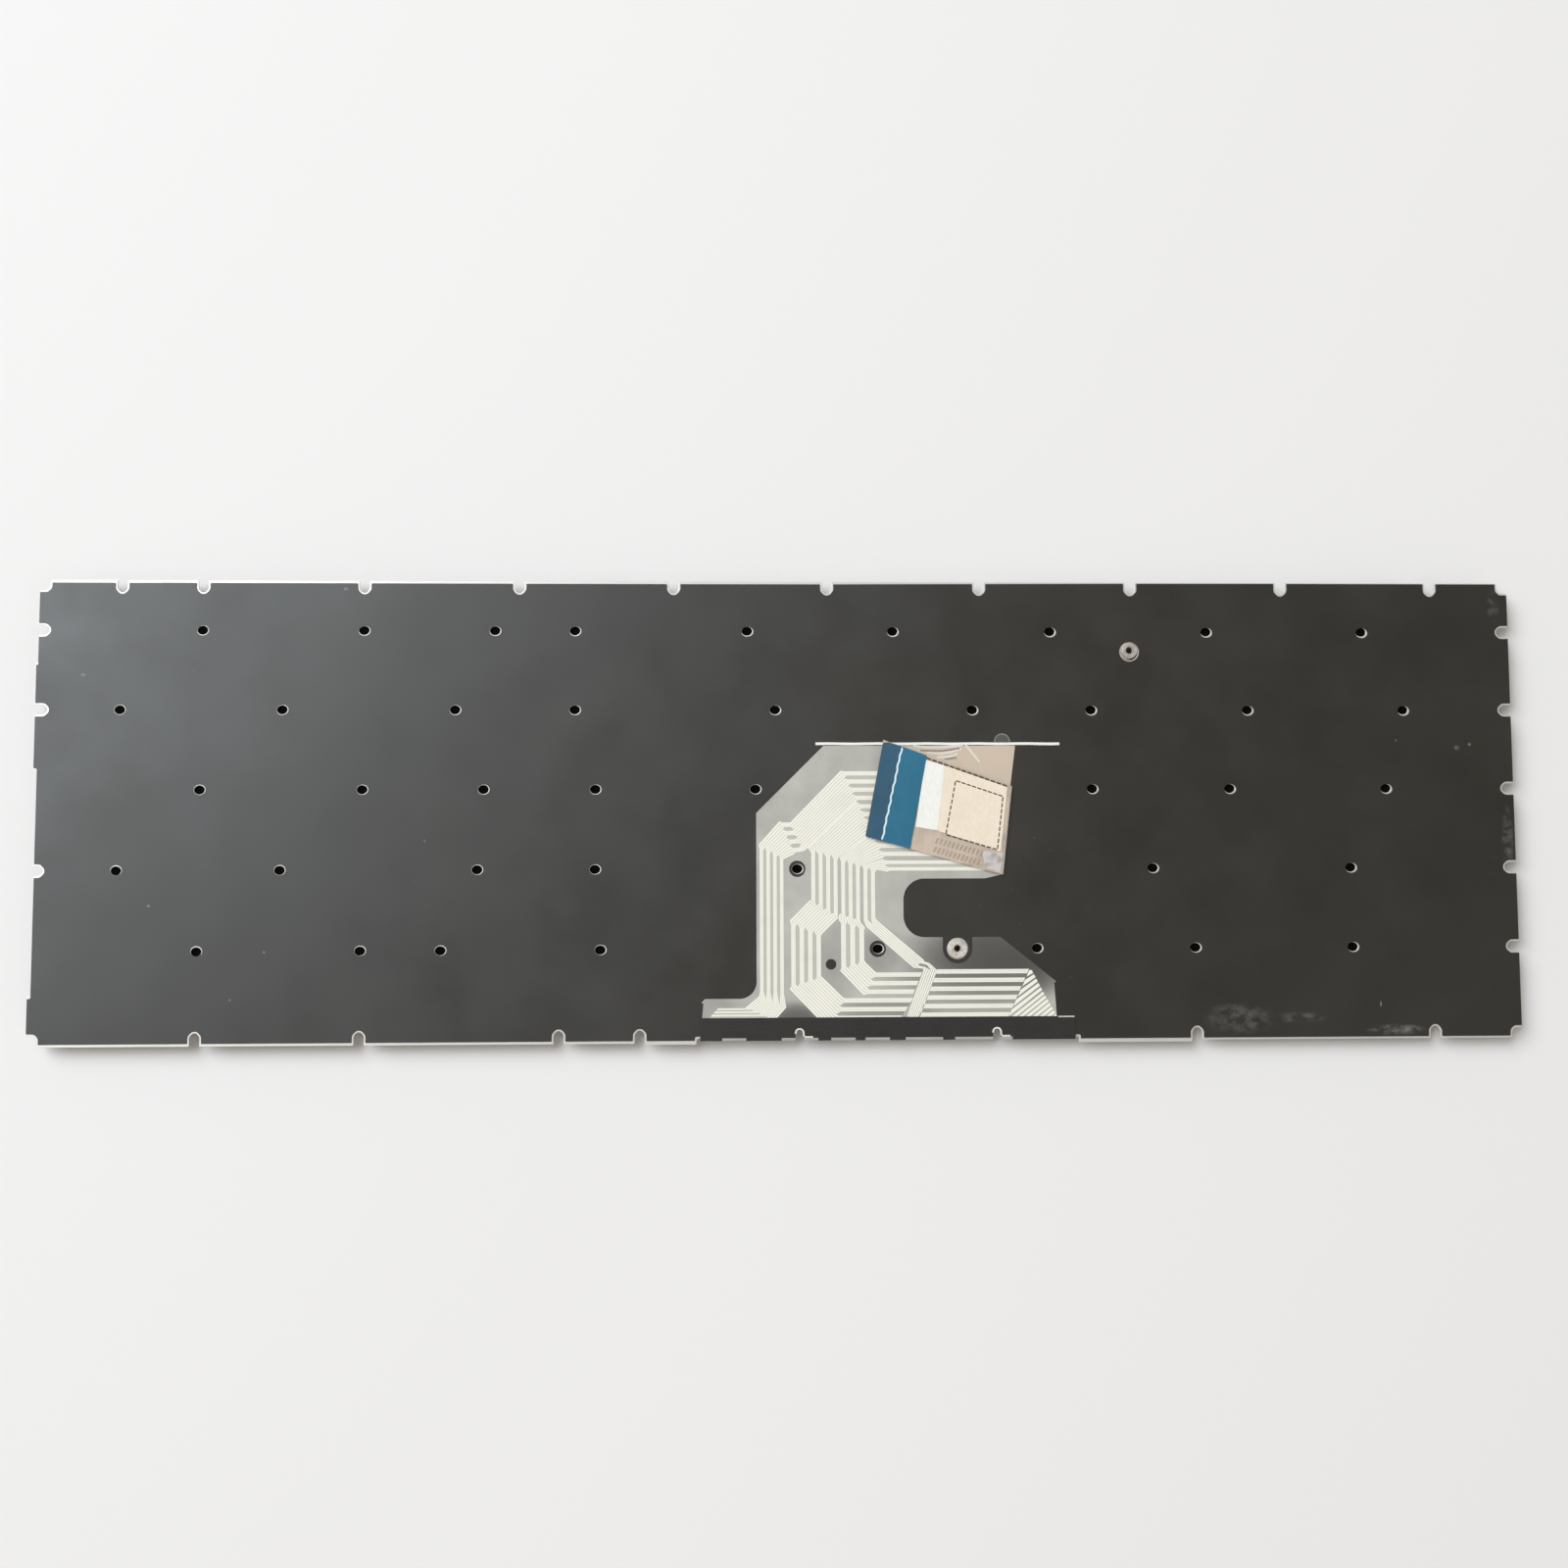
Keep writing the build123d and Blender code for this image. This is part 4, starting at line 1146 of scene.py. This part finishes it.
class KEYBOARD_OT_label(bpy.types.Operator):
    """Make the paper label with its white end and its dashed frame, and the marks beside it"""

    bl_idname = "keyboard.label"
    bl_label = "Tail Label"

    def execute(self, context):
        low, high = LABEL_LOW.z, LABEL_HIGH.z
        cream = rounded([on_tail(p) for p in LABEL_CREAM], 0.3, 3)
        mesh = sheet_mesh("tail_label_paper", [cream], low, high, 0.02)
        paper = finish_paper("label_cream_paper", colours().cream)
        piece(mesh.name, mesh, [paper], replaces=["tail_label"])
        white = rounded([on_tail(p) for p in LABEL_WHITE], 0.2, 3)
        mesh = sheet_mesh("tail_label_end", [white], low, high, 0.02)
        paper = finish_paper("label_white_paper", colours().white)
        piece(mesh.name, mesh, [paper], replaces=["tail_label"])
        corners = [on_tail(p) for p in LABEL_FRAME]
        marks = []
        for i in range(4):
            marks += dashes(corners[i - 1], corners[i], 1.05, 1.4, 0.3, high)
        marks += dashes(*[on_tail(p) for p in LABEL_EDGE], 1.1, 1.5, 0.4, high)
        mesh = joined("label_dashed_frame", marks)
        piece(mesh.name, mesh, [finish_plain("dash_brown_ink", (0.075, 0.055, 0.04), 0.6)])
        marks = []
        for ends in FLAP_MARKS:
            marks += dashes(*[on_tail(p) for p in ends], 1.5, 0.97, 0.4, FLAP_TOP_Z, 1.35)
        mesh = joined("flap_fine_marks", marks)
        piece(mesh.name, mesh, [finish_plain("mark_pale_brown", (0.43, 0.34, 0.26), 0.6)])
        return {"FINISHED"}


class KEYBOARD_OT_cover_tape(bpy.types.Operator):
    """Make the black tape across the foot of the tail, with tabs that wrap over its lower edge"""

    bl_idname = "keyboard.cover_tape"
    bl_label = "Tail Cover Tape"

    def execute(self, context):
        left, right = TAPE_LOW.x, TAPE_HIGH.x
        top, tab_y = TAPE_HIGH.y - 0.25, TAPE_LOW.y + 0.35
        edge_y = tab_y + 0.66
        lower = notched(left, right, edge_y)
        for x0, x1 in TAPE_TABS:
            a = max(left, LOWER_BOSS.x + x0)
            b = min(right, LOWER_BOSS.x + x1)
            at = next(i for i, p in enumerate(lower) if p.x >= b - 1e-6)
            tab = [Vector((a, edge_y)), Vector((a, tab_y)), Vector((b, tab_y)), Vector((b, edge_y))]
            lower = lower[:at] + tab + lower[at:]
        loop = [p for i, p in enumerate(lower) if (p - lower[i - 1]).length > 1e-6]
        loop += [Vector((right, top)), Vector((left, top))]
        mesh = sheet_mesh("tail_cover_tape_black", [loop], TAPE_LOW.z, TAPE_HIGH.z)
        tape = finish_plain("tape_matt_black", (0.020, 0.018, 0.015), 0.5, 0.8, 0.05, 0.75, (0.4, 1.6, 1.0))
        piece(mesh.name, mesh, [tape], replaces=["tail_cover_tape"])
        seams = []
        for x in (7.6, 37.0):
            seams.append(strip([Vector((x, top - 0.1)), Vector((x, edge_y + 0.1))], 0.22, TAPE_HIGH.z, 0.03))
        mesh = joined("tape_laps", seams)
        piece(mesh.name, mesh, [tape])
        # Pale line along the right part of the tape's upper edge is a painted highlight on that edge.
        foot_right = on_tail((23.7, 0.0)).x
        line = [Vector((foot_right, top - 0.1)), Vector((right - 0.2, top - 0.1))]
        mesh = strip(line, 0.25, TAPE_HIGH.z, 0.02, "tape_edge_highlight")
        piece(mesh.name, mesh, [finish_paper("edge_painted_highlight", (0.75, 0.74, 0.70))])
        # Pale rims on the top and right of each notch: the steel lip, drawn in a pale matt tone as a painted
        # highlight.
        rims = []
        for x in FOOT_NOTCHES:
            centre = LOWER_BOSS.x + x
            foot = edge_y + 0.18
            crown = edge_y + NOTCH_RISE - NOTCH_HALF
            rim = [Vector((centre - NOTCH_HALF, crown - 0.2))]
            steps = 8
            for i in range(steps + 1):
                angle = math.pi * (1 - i / steps)
                rim.append(on_crown(centre, crown, angle))
            rim += [Vector((centre + NOTCH_HALF, foot + 0.45)), Vector((centre + NOTCH_HALF + 0.35, foot))]
            rim += [Vector((centre + NOTCH_HALF + 2.2, foot))]
            rims.append(strip(rim, 0.36, TAPE_HIGH.z - 0.03, 0.06))
        mesh = joined("tape_notch_highlight_rims", rims)
        piece(mesh.name, mesh, [finish_plain("notch_edge_painted_highlight", (0.85, 0.82, 0.78), 0.35)])
        return {"FINISHED"}


class KEYBOARD_OT_white_strip(bpy.types.Operator):
    """Make the narrow white tape above the tail"""

    bl_idname = "keyboard.white_strip"
    bl_label = "White Tape Strip"

    def execute(self, context):
        low, high = STRIP_LOW, STRIP_HIGH
        steps = 24
        lower, upper = [], []
        for i in range(steps + 1):
            x = low.x + (high.x - low.x) * i / steps
            sway = 0.05 * math.sin(i * 1.3)
            lower.append(Vector((x, low.y + 0.06 + sway)))
            upper.append(Vector((x, high.y - 0.06 + 0.8 * sway)))
        mesh = sheet_mesh("white_tape_line", [lower + upper[::-1]], low.z, high.z, 0.02)
        paper = finish_paper("tape_white_paper", colours().white)
        piece(mesh.name, mesh, [paper], replaces=["white_tape_strip"])
        return {"FINISHED"}


def rounded_box(width, depth, radius, steps=4):
    """Loop of a rectangle with round corners about the middle."""
    points = []
    for k, (sx, sy) in enumerate(((1, 1), (-1, 1), (-1, -1), (1, -1))):
        centre = Vector((sx * (width / 2 - radius), sy * (depth / 2 - radius)))
        for i in range(steps + 1):
            angle = math.pi / 2 * (k + i / steps)
            points.append(centre + Vector((math.cos(angle), math.sin(angle))) * radius)
    return points


def cap_mesh(name, low, high):
    """Hollow keycap with a rounded rim, sloping sides and a dished finger face."""
    centre = (low + high).to_2d() / 2
    width, depth = high.x - low.x, high.y - low.y
    top = high.z
    corner, dish = in_mm(sizes().cap_round), in_mm(sizes().cap_dish)
    wall, taper, roof = 0.9, 0.5, 0.8
    rings = [
        (1.6 * wall, roof + 0.02, corner * 0.4),
        (wall, roof + 0.12, corner * 0.5),
        (wall, top - 0.05, corner * 0.5),
        (wall - 0.06, top, corner * 0.5),
        (0.1, top, corner * 0.8),
        (0.0, top - 0.1, corner * 0.8),
        (taper * 0.72, 0.42, corner),
        (taper * 0.86, 0.2, corner),
        (taper + 0.12, 0.06, corner),
        (taper + 0.4, 0.0, corner),
        (taper + 1.3, 0.02, corner),
    ]
    points, faces = [], []
    for inset, z, radius in rings:
        points += [(*(centre + p), z) for p in rounded_box(width - 2 * inset, depth - 2 * inset, radius)]
    count = len(points) // len(rings)
    for r in range(len(rings) - 1):
        for i in range(count):
            n = (i + 1) % count
            a, b = r * count, (r + 1) * count
            faces.append((a + i, a + n, b + n, b + i))
    faces.append(tuple(range(count)))
    last = (len(rings) - 1) * count
    hollow = [(*(centre + p), dish) for p in rounded_box(width * 0.4, depth * 0.4, corner * 0.8)]
    points += hollow
    for i in range(count):
        n = (i + 1) % count
        faces.append((last + i, last + n, last + count + n, last + count + i))
    faces.append(tuple(range(last + count, last + 2 * count)))
    return smooth_over(mesh_of(name, points, faces), 50.0)


class KEYBOARD_OT_keycaps(bpy.types.Operator):
    """Make every keycap: sprung ones on their own bodies, the others in groups"""

    bl_idname = "keyboard.keycaps"
    bl_label = "Keycaps"

    def execute(self, context):
        finish = finish_plain("keycap_matt_black", colours().keycap, 0.55, 5.0, 0.02, 0.8)
        for node in SPRUNG_CAPS:
            mesh = cap_mesh(f"{node}_moulded", *node_box(node))
            piece(mesh.name, mesh, [finish], body=body_of_cap(node), replaces=[node])
        for node in FIXED_CAP_NODES:
            meshes = [cap_mesh("cap", low, high) for low, high in solid_boxes(node)]
            mesh = smooth_over(joined(f"{node}_moulded", meshes), 50.0)
            piece(mesh.name, mesh, [finish], replaces=[node])
        return {"FINISHED"}


def body_of_cap(node):
    return node.replace("keycap_", "key_")


def joint_of_cap(node):
    return node.replace("keycap_", "press_")


def sprung_keys():
    """Each sprung cap's node with its box."""
    return [(node, *node_box(node)) for node in SPRUNG_CAPS]


def fixed_keys():
    """Boxes of the caps in the fixed groups."""
    return [box for node in FIXED_CAP_NODES for box in solid_boxes(node)]


def press_with(made, node):
    """Give a piece its own copy of its mesh."""
    joint_of_cap(node)
    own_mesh(made)


def dome_mesh(name, centre):
    """Rubber dome: flat foot, thin flared wall and a short post under the cap."""
    low, high = DOME_LOW.z, DOME_HIGH.z
    profile = [
        (0.0, low), (1.45, low), (1.7, low + 0.08), (1.7, low + 0.7), (1.85, low + 0.9), (2.3, low + 1.5),
        (2.75, low + 2.05), (2.85, high - 0.25), (3.2, high - 0.22), (3.2, high), (2.5, high),
        (2.3, high - 0.35), (1.5, low + 1.2), (0.0, low + 1.15),
    ]
    mesh = lathe(name, profile, 20)
    mesh.transform(Matrix.Translation((centre.x * MM, centre.y * MM, 0.0)))
    return smooth_over(welded(mesh), 40.0)


class KEYBOARD_OT_domes(bpy.types.Operator):
    """Make a rubber dome under every key"""

    bl_idname = "keyboard.domes"
    bl_label = "Rubber Domes"

    def execute(self, context):
        finish = finish_plain("dome_soft_rubber", colours().rubber, 0.6, 1.2, 0.02, 0.9)
        for node, low, high in sprung_keys():
            centre = (low + high).to_2d() / 2
            mesh = dome_mesh(node.replace("keycap_", "dome_"), centre)
            made = piece(mesh.name, mesh, [finish], replaces=["rubber_domes"])
            press_with(made, node)
        meshes = [dome_mesh("dome", (low + high).to_2d() / 2) for low, high in fixed_keys()]
        mesh = smooth_over(joined("domes_of_fixed_keys", meshes), 40.0)
        piece(mesh.name, mesh, [finish], replaces=["rubber_domes"])
        return {"FINISHED"}


def scissor_mesh(name, low, high):
    """Pair of crossed frames under a cap, or two pairs under the longest one."""
    centre = (low + high).to_2d() / 2
    width, depth = high.x - low.x, high.y - low.y
    length = min(11.0, depth - 2.6)
    across = min(12.4, width - 2.6)
    arm, gap, thick = 1.1, 0.3, 0.6
    slope = (DOME_HIGH.z - DOME_LOW.z - 0.2 - thick) / length
    level = (DOME_LOW.z + DOME_HIGH.z) / 2
    long_cap = 60.0
    offsets = (-26.0, 26.0) if width > long_cap else (0.0,)
    meshes = []
    inner = across - 2 * (arm + gap)
    for offset in offsets:
        for sign, wide, closed in ((-1, across, False), (1, inner, True)):
            loops = [rounded_box(wide, length, 0.5, 2)]
            if closed:
                loops.append(rounded_box(wide - 2 * arm, length - 2 * arm, 0.35, 2))
            else:
                x, y = wide / 2, length / 2
                loops = [rounded([Vector(p) for p in (
                    (-x, -y), (-x + arm, -y), (-x + arm, y - arm), (x - arm, y - arm),
                    (x - arm, -y), (x, -y), (x, y), (-x, y),
                )], 0.35, 2)]
            mesh = sheet_mesh("frame", loops, -thick / 2, thick / 2, 0.08)
            tilt = Matrix.Rotation(math.atan(sign * slope), 4, "X")
            mesh.transform(Matrix.Translation(Vector((centre.x + offset, centre.y, level)) * MM) @ tilt)
            meshes.append(mesh)
    return joined(name, meshes)


class KEYBOARD_OT_links(bpy.types.Operator):
    """Make the crossed scissor links under every key"""

    bl_idname = "keyboard.links"
    bl_label = "Scissor Links"

    def execute(self, context):
        finish = finish_plain("link_moulded_white", colours().link, 0.5, 1.8, 0.01, 0.9)
        stands_for = ["scissor_outer_links", "scissor_inner_links"]
        for node, low, high in sprung_keys():
            mesh = scissor_mesh(node.replace("keycap_", "scissor_"), low, high)
            made = piece(mesh.name, mesh, [finish], replaces=stands_for)
            press_with(made, node)
        meshes = [scissor_mesh("pair", low, high) for low, high in fixed_keys()]
        mesh = joined("scissors_of_fixed_keys", meshes)
        piece(mesh.name, mesh, [finish], replaces=stands_for)
        return {"FINISHED"}


def bar_mesh(name, low, high):
    """Bent wire that fills a box: a long run with two arms that lean to the membrane."""
    tall = high.y - low.y > high.x - low.x
    span = (high.y - low.y if tall else high.x - low.x) / 2 - 0.35
    reach = (high.x - low.x if tall else high.y - low.y) / 2 - 0.35
    rise = (high.z - low.z) / 2 - 0.36
    bends = ((-span, -reach, rise), (-span, reach, -rise), (span, reach, -rise), (span, -reach, rise))
    path = [Vector(p) for p in bends]
    curve = bpy.data.curves.new(name, "CURVE")
    curve.dimensions = "3D"
    curve.bevel_depth = 0.35
    curve.bevel_resolution = 2
    curve.use_fill_caps = True
    spline = curve.splines.new("POLY")
    points = []
    for i, corner in enumerate(path):
        if i in (0, len(path) - 1):
            points.append(corner)
            continue
        for t in (0.0, 0.3, 0.7, 1.0):
            back = corner.lerp(path[i - 1], 0.8 / (path[i - 1] - corner).length)
            ahead = corner.lerp(path[i + 1], 0.8 / (path[i + 1] - corner).length)
            points.append(back * (1 - t) ** 2 + corner * (2 * t * (1 - t)) + ahead * t**2)
    spline.points.add(len(points) - 1)
    for point, p in zip(spline.points, points):
        point.co = (*p, 1.0)
    holder = bpy.data.objects.new(name, curve)
    mesh = bpy.data.meshes.new_from_object(holder)
    bpy.data.objects.remove(holder)
    bpy.data.curves.remove(curve)
    turn = Matrix.Rotation(math.pi / 2 if tall else 0.0, 4, "Z")
    mesh.transform(Matrix.Translation((low + high) / 2 * MM) @ turn @ Matrix.Scale(MM, 4))
    mesh.name = name
    mesh.materials.clear()
    return smooth_over(welded(mesh), 60.0)


class KEYBOARD_OT_bars(bpy.types.Operator):
    """Make the bent stabiliser wires under the wide keys"""

    bl_idname = "keyboard.bars"
    bl_label = "Stabiliser Bars"

    def execute(self, context):
        finish = finish_steel("bar_drawn_wire", colours().steel, 0.3, 1.0)
        keys = sprung_keys()
        fixed = []
        for low, high in solid_boxes("stabiliser_bars"):
            centre = (low + high).to_2d() / 2
            above = [k for k in keys if all(k[1][i] < centre[i] < k[2][i] for i in range(2))]
            if not above:
                fixed.append(bar_mesh("bar", low, high))
                continue
            node = above[0][0]
            mesh = bar_mesh(node.replace("keycap_", "bar_"), low, high)
            made = piece(mesh.name, mesh, [finish], replaces=["stabiliser_bars"])
            press_with(made, node)
        mesh = smooth_over(joined("bars_of_fixed_keys", fixed), 60.0)
        piece(mesh.name, mesh, [finish], replaces=["stabiliser_bars"])
        return {"FINISHED"}


def area_light(name, place, target, power, width, height):
    """Soft rectangular light that faces a point."""
    light = bpy.data.lights.new(name, "AREA")
    light.shape = "RECTANGLE"
    light.energy, light.size, light.size_y = power, width, height
    made = bpy.data.objects.new(name, light)
    bpy.context.scene.collection.objects.link(made)
    made.location = place
    made.rotation_euler = (Vector(target) - Vector(place)).to_track_quat("-Z", "Y").to_euler()
    return made


class KEYBOARD_OT_stage(bpy.types.Operator):
    """Set the pale floor, the soft light and the camera"""

    bl_idname = "keyboard.stage"
    bl_label = "Stage"

    def execute(self, context):
        scene = context.scene
        reach, sides = 2.0, 128
        turns = [math.tau * i / sides for i in range(sides)]
        mesh = bpy.data.meshes.new("floor")
        mesh.from_pydata([(reach * math.cos(t), reach * math.sin(t), 0.0) for t in turns], [], [range(sides)])
        made = Finish("floor_pale", studio().floor, 0.9, Specular_IOR_Level=0.1)
        mesh.materials.append(made.material)
        floor = bpy.data.objects.new("floor", mesh)
        scene.collection.objects.link(floor)
        key = area_light("key_light", (-1.56, 1.144, 2.184), (0.0, 0.0, 0.0), studio().key_power, 2.29, 2.29)
        key.data.color = (0.93, 0.98, 1.03)
        area_light("fill_light", (0.9, -0.9, 1.0), (0.0, 0.0, 0.0), studio().fill_power, 1.4, 1.4)
        world = bpy.data.worlds.new("even_light")
        world.use_nodes = True
        nodes, links = world.node_tree.nodes, world.node_tree.links
        background = nodes["Background"]
        background.inputs["Color"].default_value = (1.0, 0.945, 0.875, 1.0)
        split = nodes.new("ShaderNodeSeparateXYZ")
        links.new(nodes.new("ShaderNodeTexCoord").outputs["Generated"], split.inputs[0])
        fade = nodes.new("ShaderNodeMapRange")
        fade.inputs["From Max"].default_value = 0.45
        fade.inputs["To Min"].default_value = studio().horizon
        fade.inputs["To Max"].default_value = studio().sky
        links.new(split.outputs["Z"], fade.inputs["Value"])
        links.new(fade.outputs[0], background.inputs["Strength"])
        scene.world = world
        camera = bpy.data.cameras.new("camera")
        camera.sensor_width = 36.0
        camera.lens = studio().lens
        camera.clip_start, camera.clip_end = 0.01, 20.0
        view = bpy.data.objects.new("camera", camera)
        scene.collection.objects.link(view)
        view.location = studio().camera_place
        view.rotation_euler = Euler(studio().camera_turn, "XYZ")
        scene.camera = view
        scene.view_settings.view_transform = "Standard"
        return {"FINISHED"}


OPERATORS = (
    KEYBOARD_OT_plate,
    KEYBOARD_OT_film,
    KEYBOARD_OT_bosses,
    KEYBOARD_OT_membrane,
    KEYBOARD_OT_creases,
    KEYBOARD_OT_tracks,
    KEYBOARD_OT_stiffener,
    KEYBOARD_OT_label,
    KEYBOARD_OT_cover_tape,
    KEYBOARD_OT_white_strip,
    KEYBOARD_OT_keycaps,
    KEYBOARD_OT_domes,
    KEYBOARD_OT_links,
    KEYBOARD_OT_bars,
    KEYBOARD_OT_stage,
)


class KEYBOARD_PT_panel(bpy.types.Panel):
    """Lists the keyboard's pieces and sizes"""

    bl_idname = "KEYBOARD_PT_panel"
    bl_label = "Laptop Keyboard"
    bl_space_type = "VIEW_3D"
    bl_region_type = "UI"
    bl_category = "Keyboard"

    def draw(self, context):
        scene = context.scene
        for operator in OPERATORS:
            self.layout.operator(operator.bl_idname)
        for group in (scene.keyboard_sizes, scene.keyboard_colours, scene.keyboard_studio):
            box = self.layout.box()
            for name in group.bl_rna.properties.keys():
                if name not in ("rna_type", "name"):
                    box.prop(group, name)


GROUPS = (
    ("keyboard_sizes", KeyboardSizes),
    ("keyboard_colours", KeyboardColours),
    ("keyboard_studio", KeyboardStudio),
)


def register():
    for name, group in GROUPS:
        bpy.utils.register_class(group)
        setattr(bpy.types.Scene, name, PointerProperty(type=group))
    for operator in OPERATORS:
        bpy.utils.register_class(operator)
    bpy.utils.register_class(KEYBOARD_PT_panel)


def unregister():
    bpy.utils.unregister_class(KEYBOARD_PT_panel)
    for operator in reversed(OPERATORS):
        bpy.utils.unregister_class(operator)
    for name, group in reversed(GROUPS):
        delattr(bpy.types.Scene, name)
        bpy.utils.unregister_class(group)


def main():
    register()
    for operator in OPERATORS:
        group, name = operator.bl_idname.split(".")
        getattr(getattr(bpy.ops, group), name)()


if __name__ == "__main__":
    main()
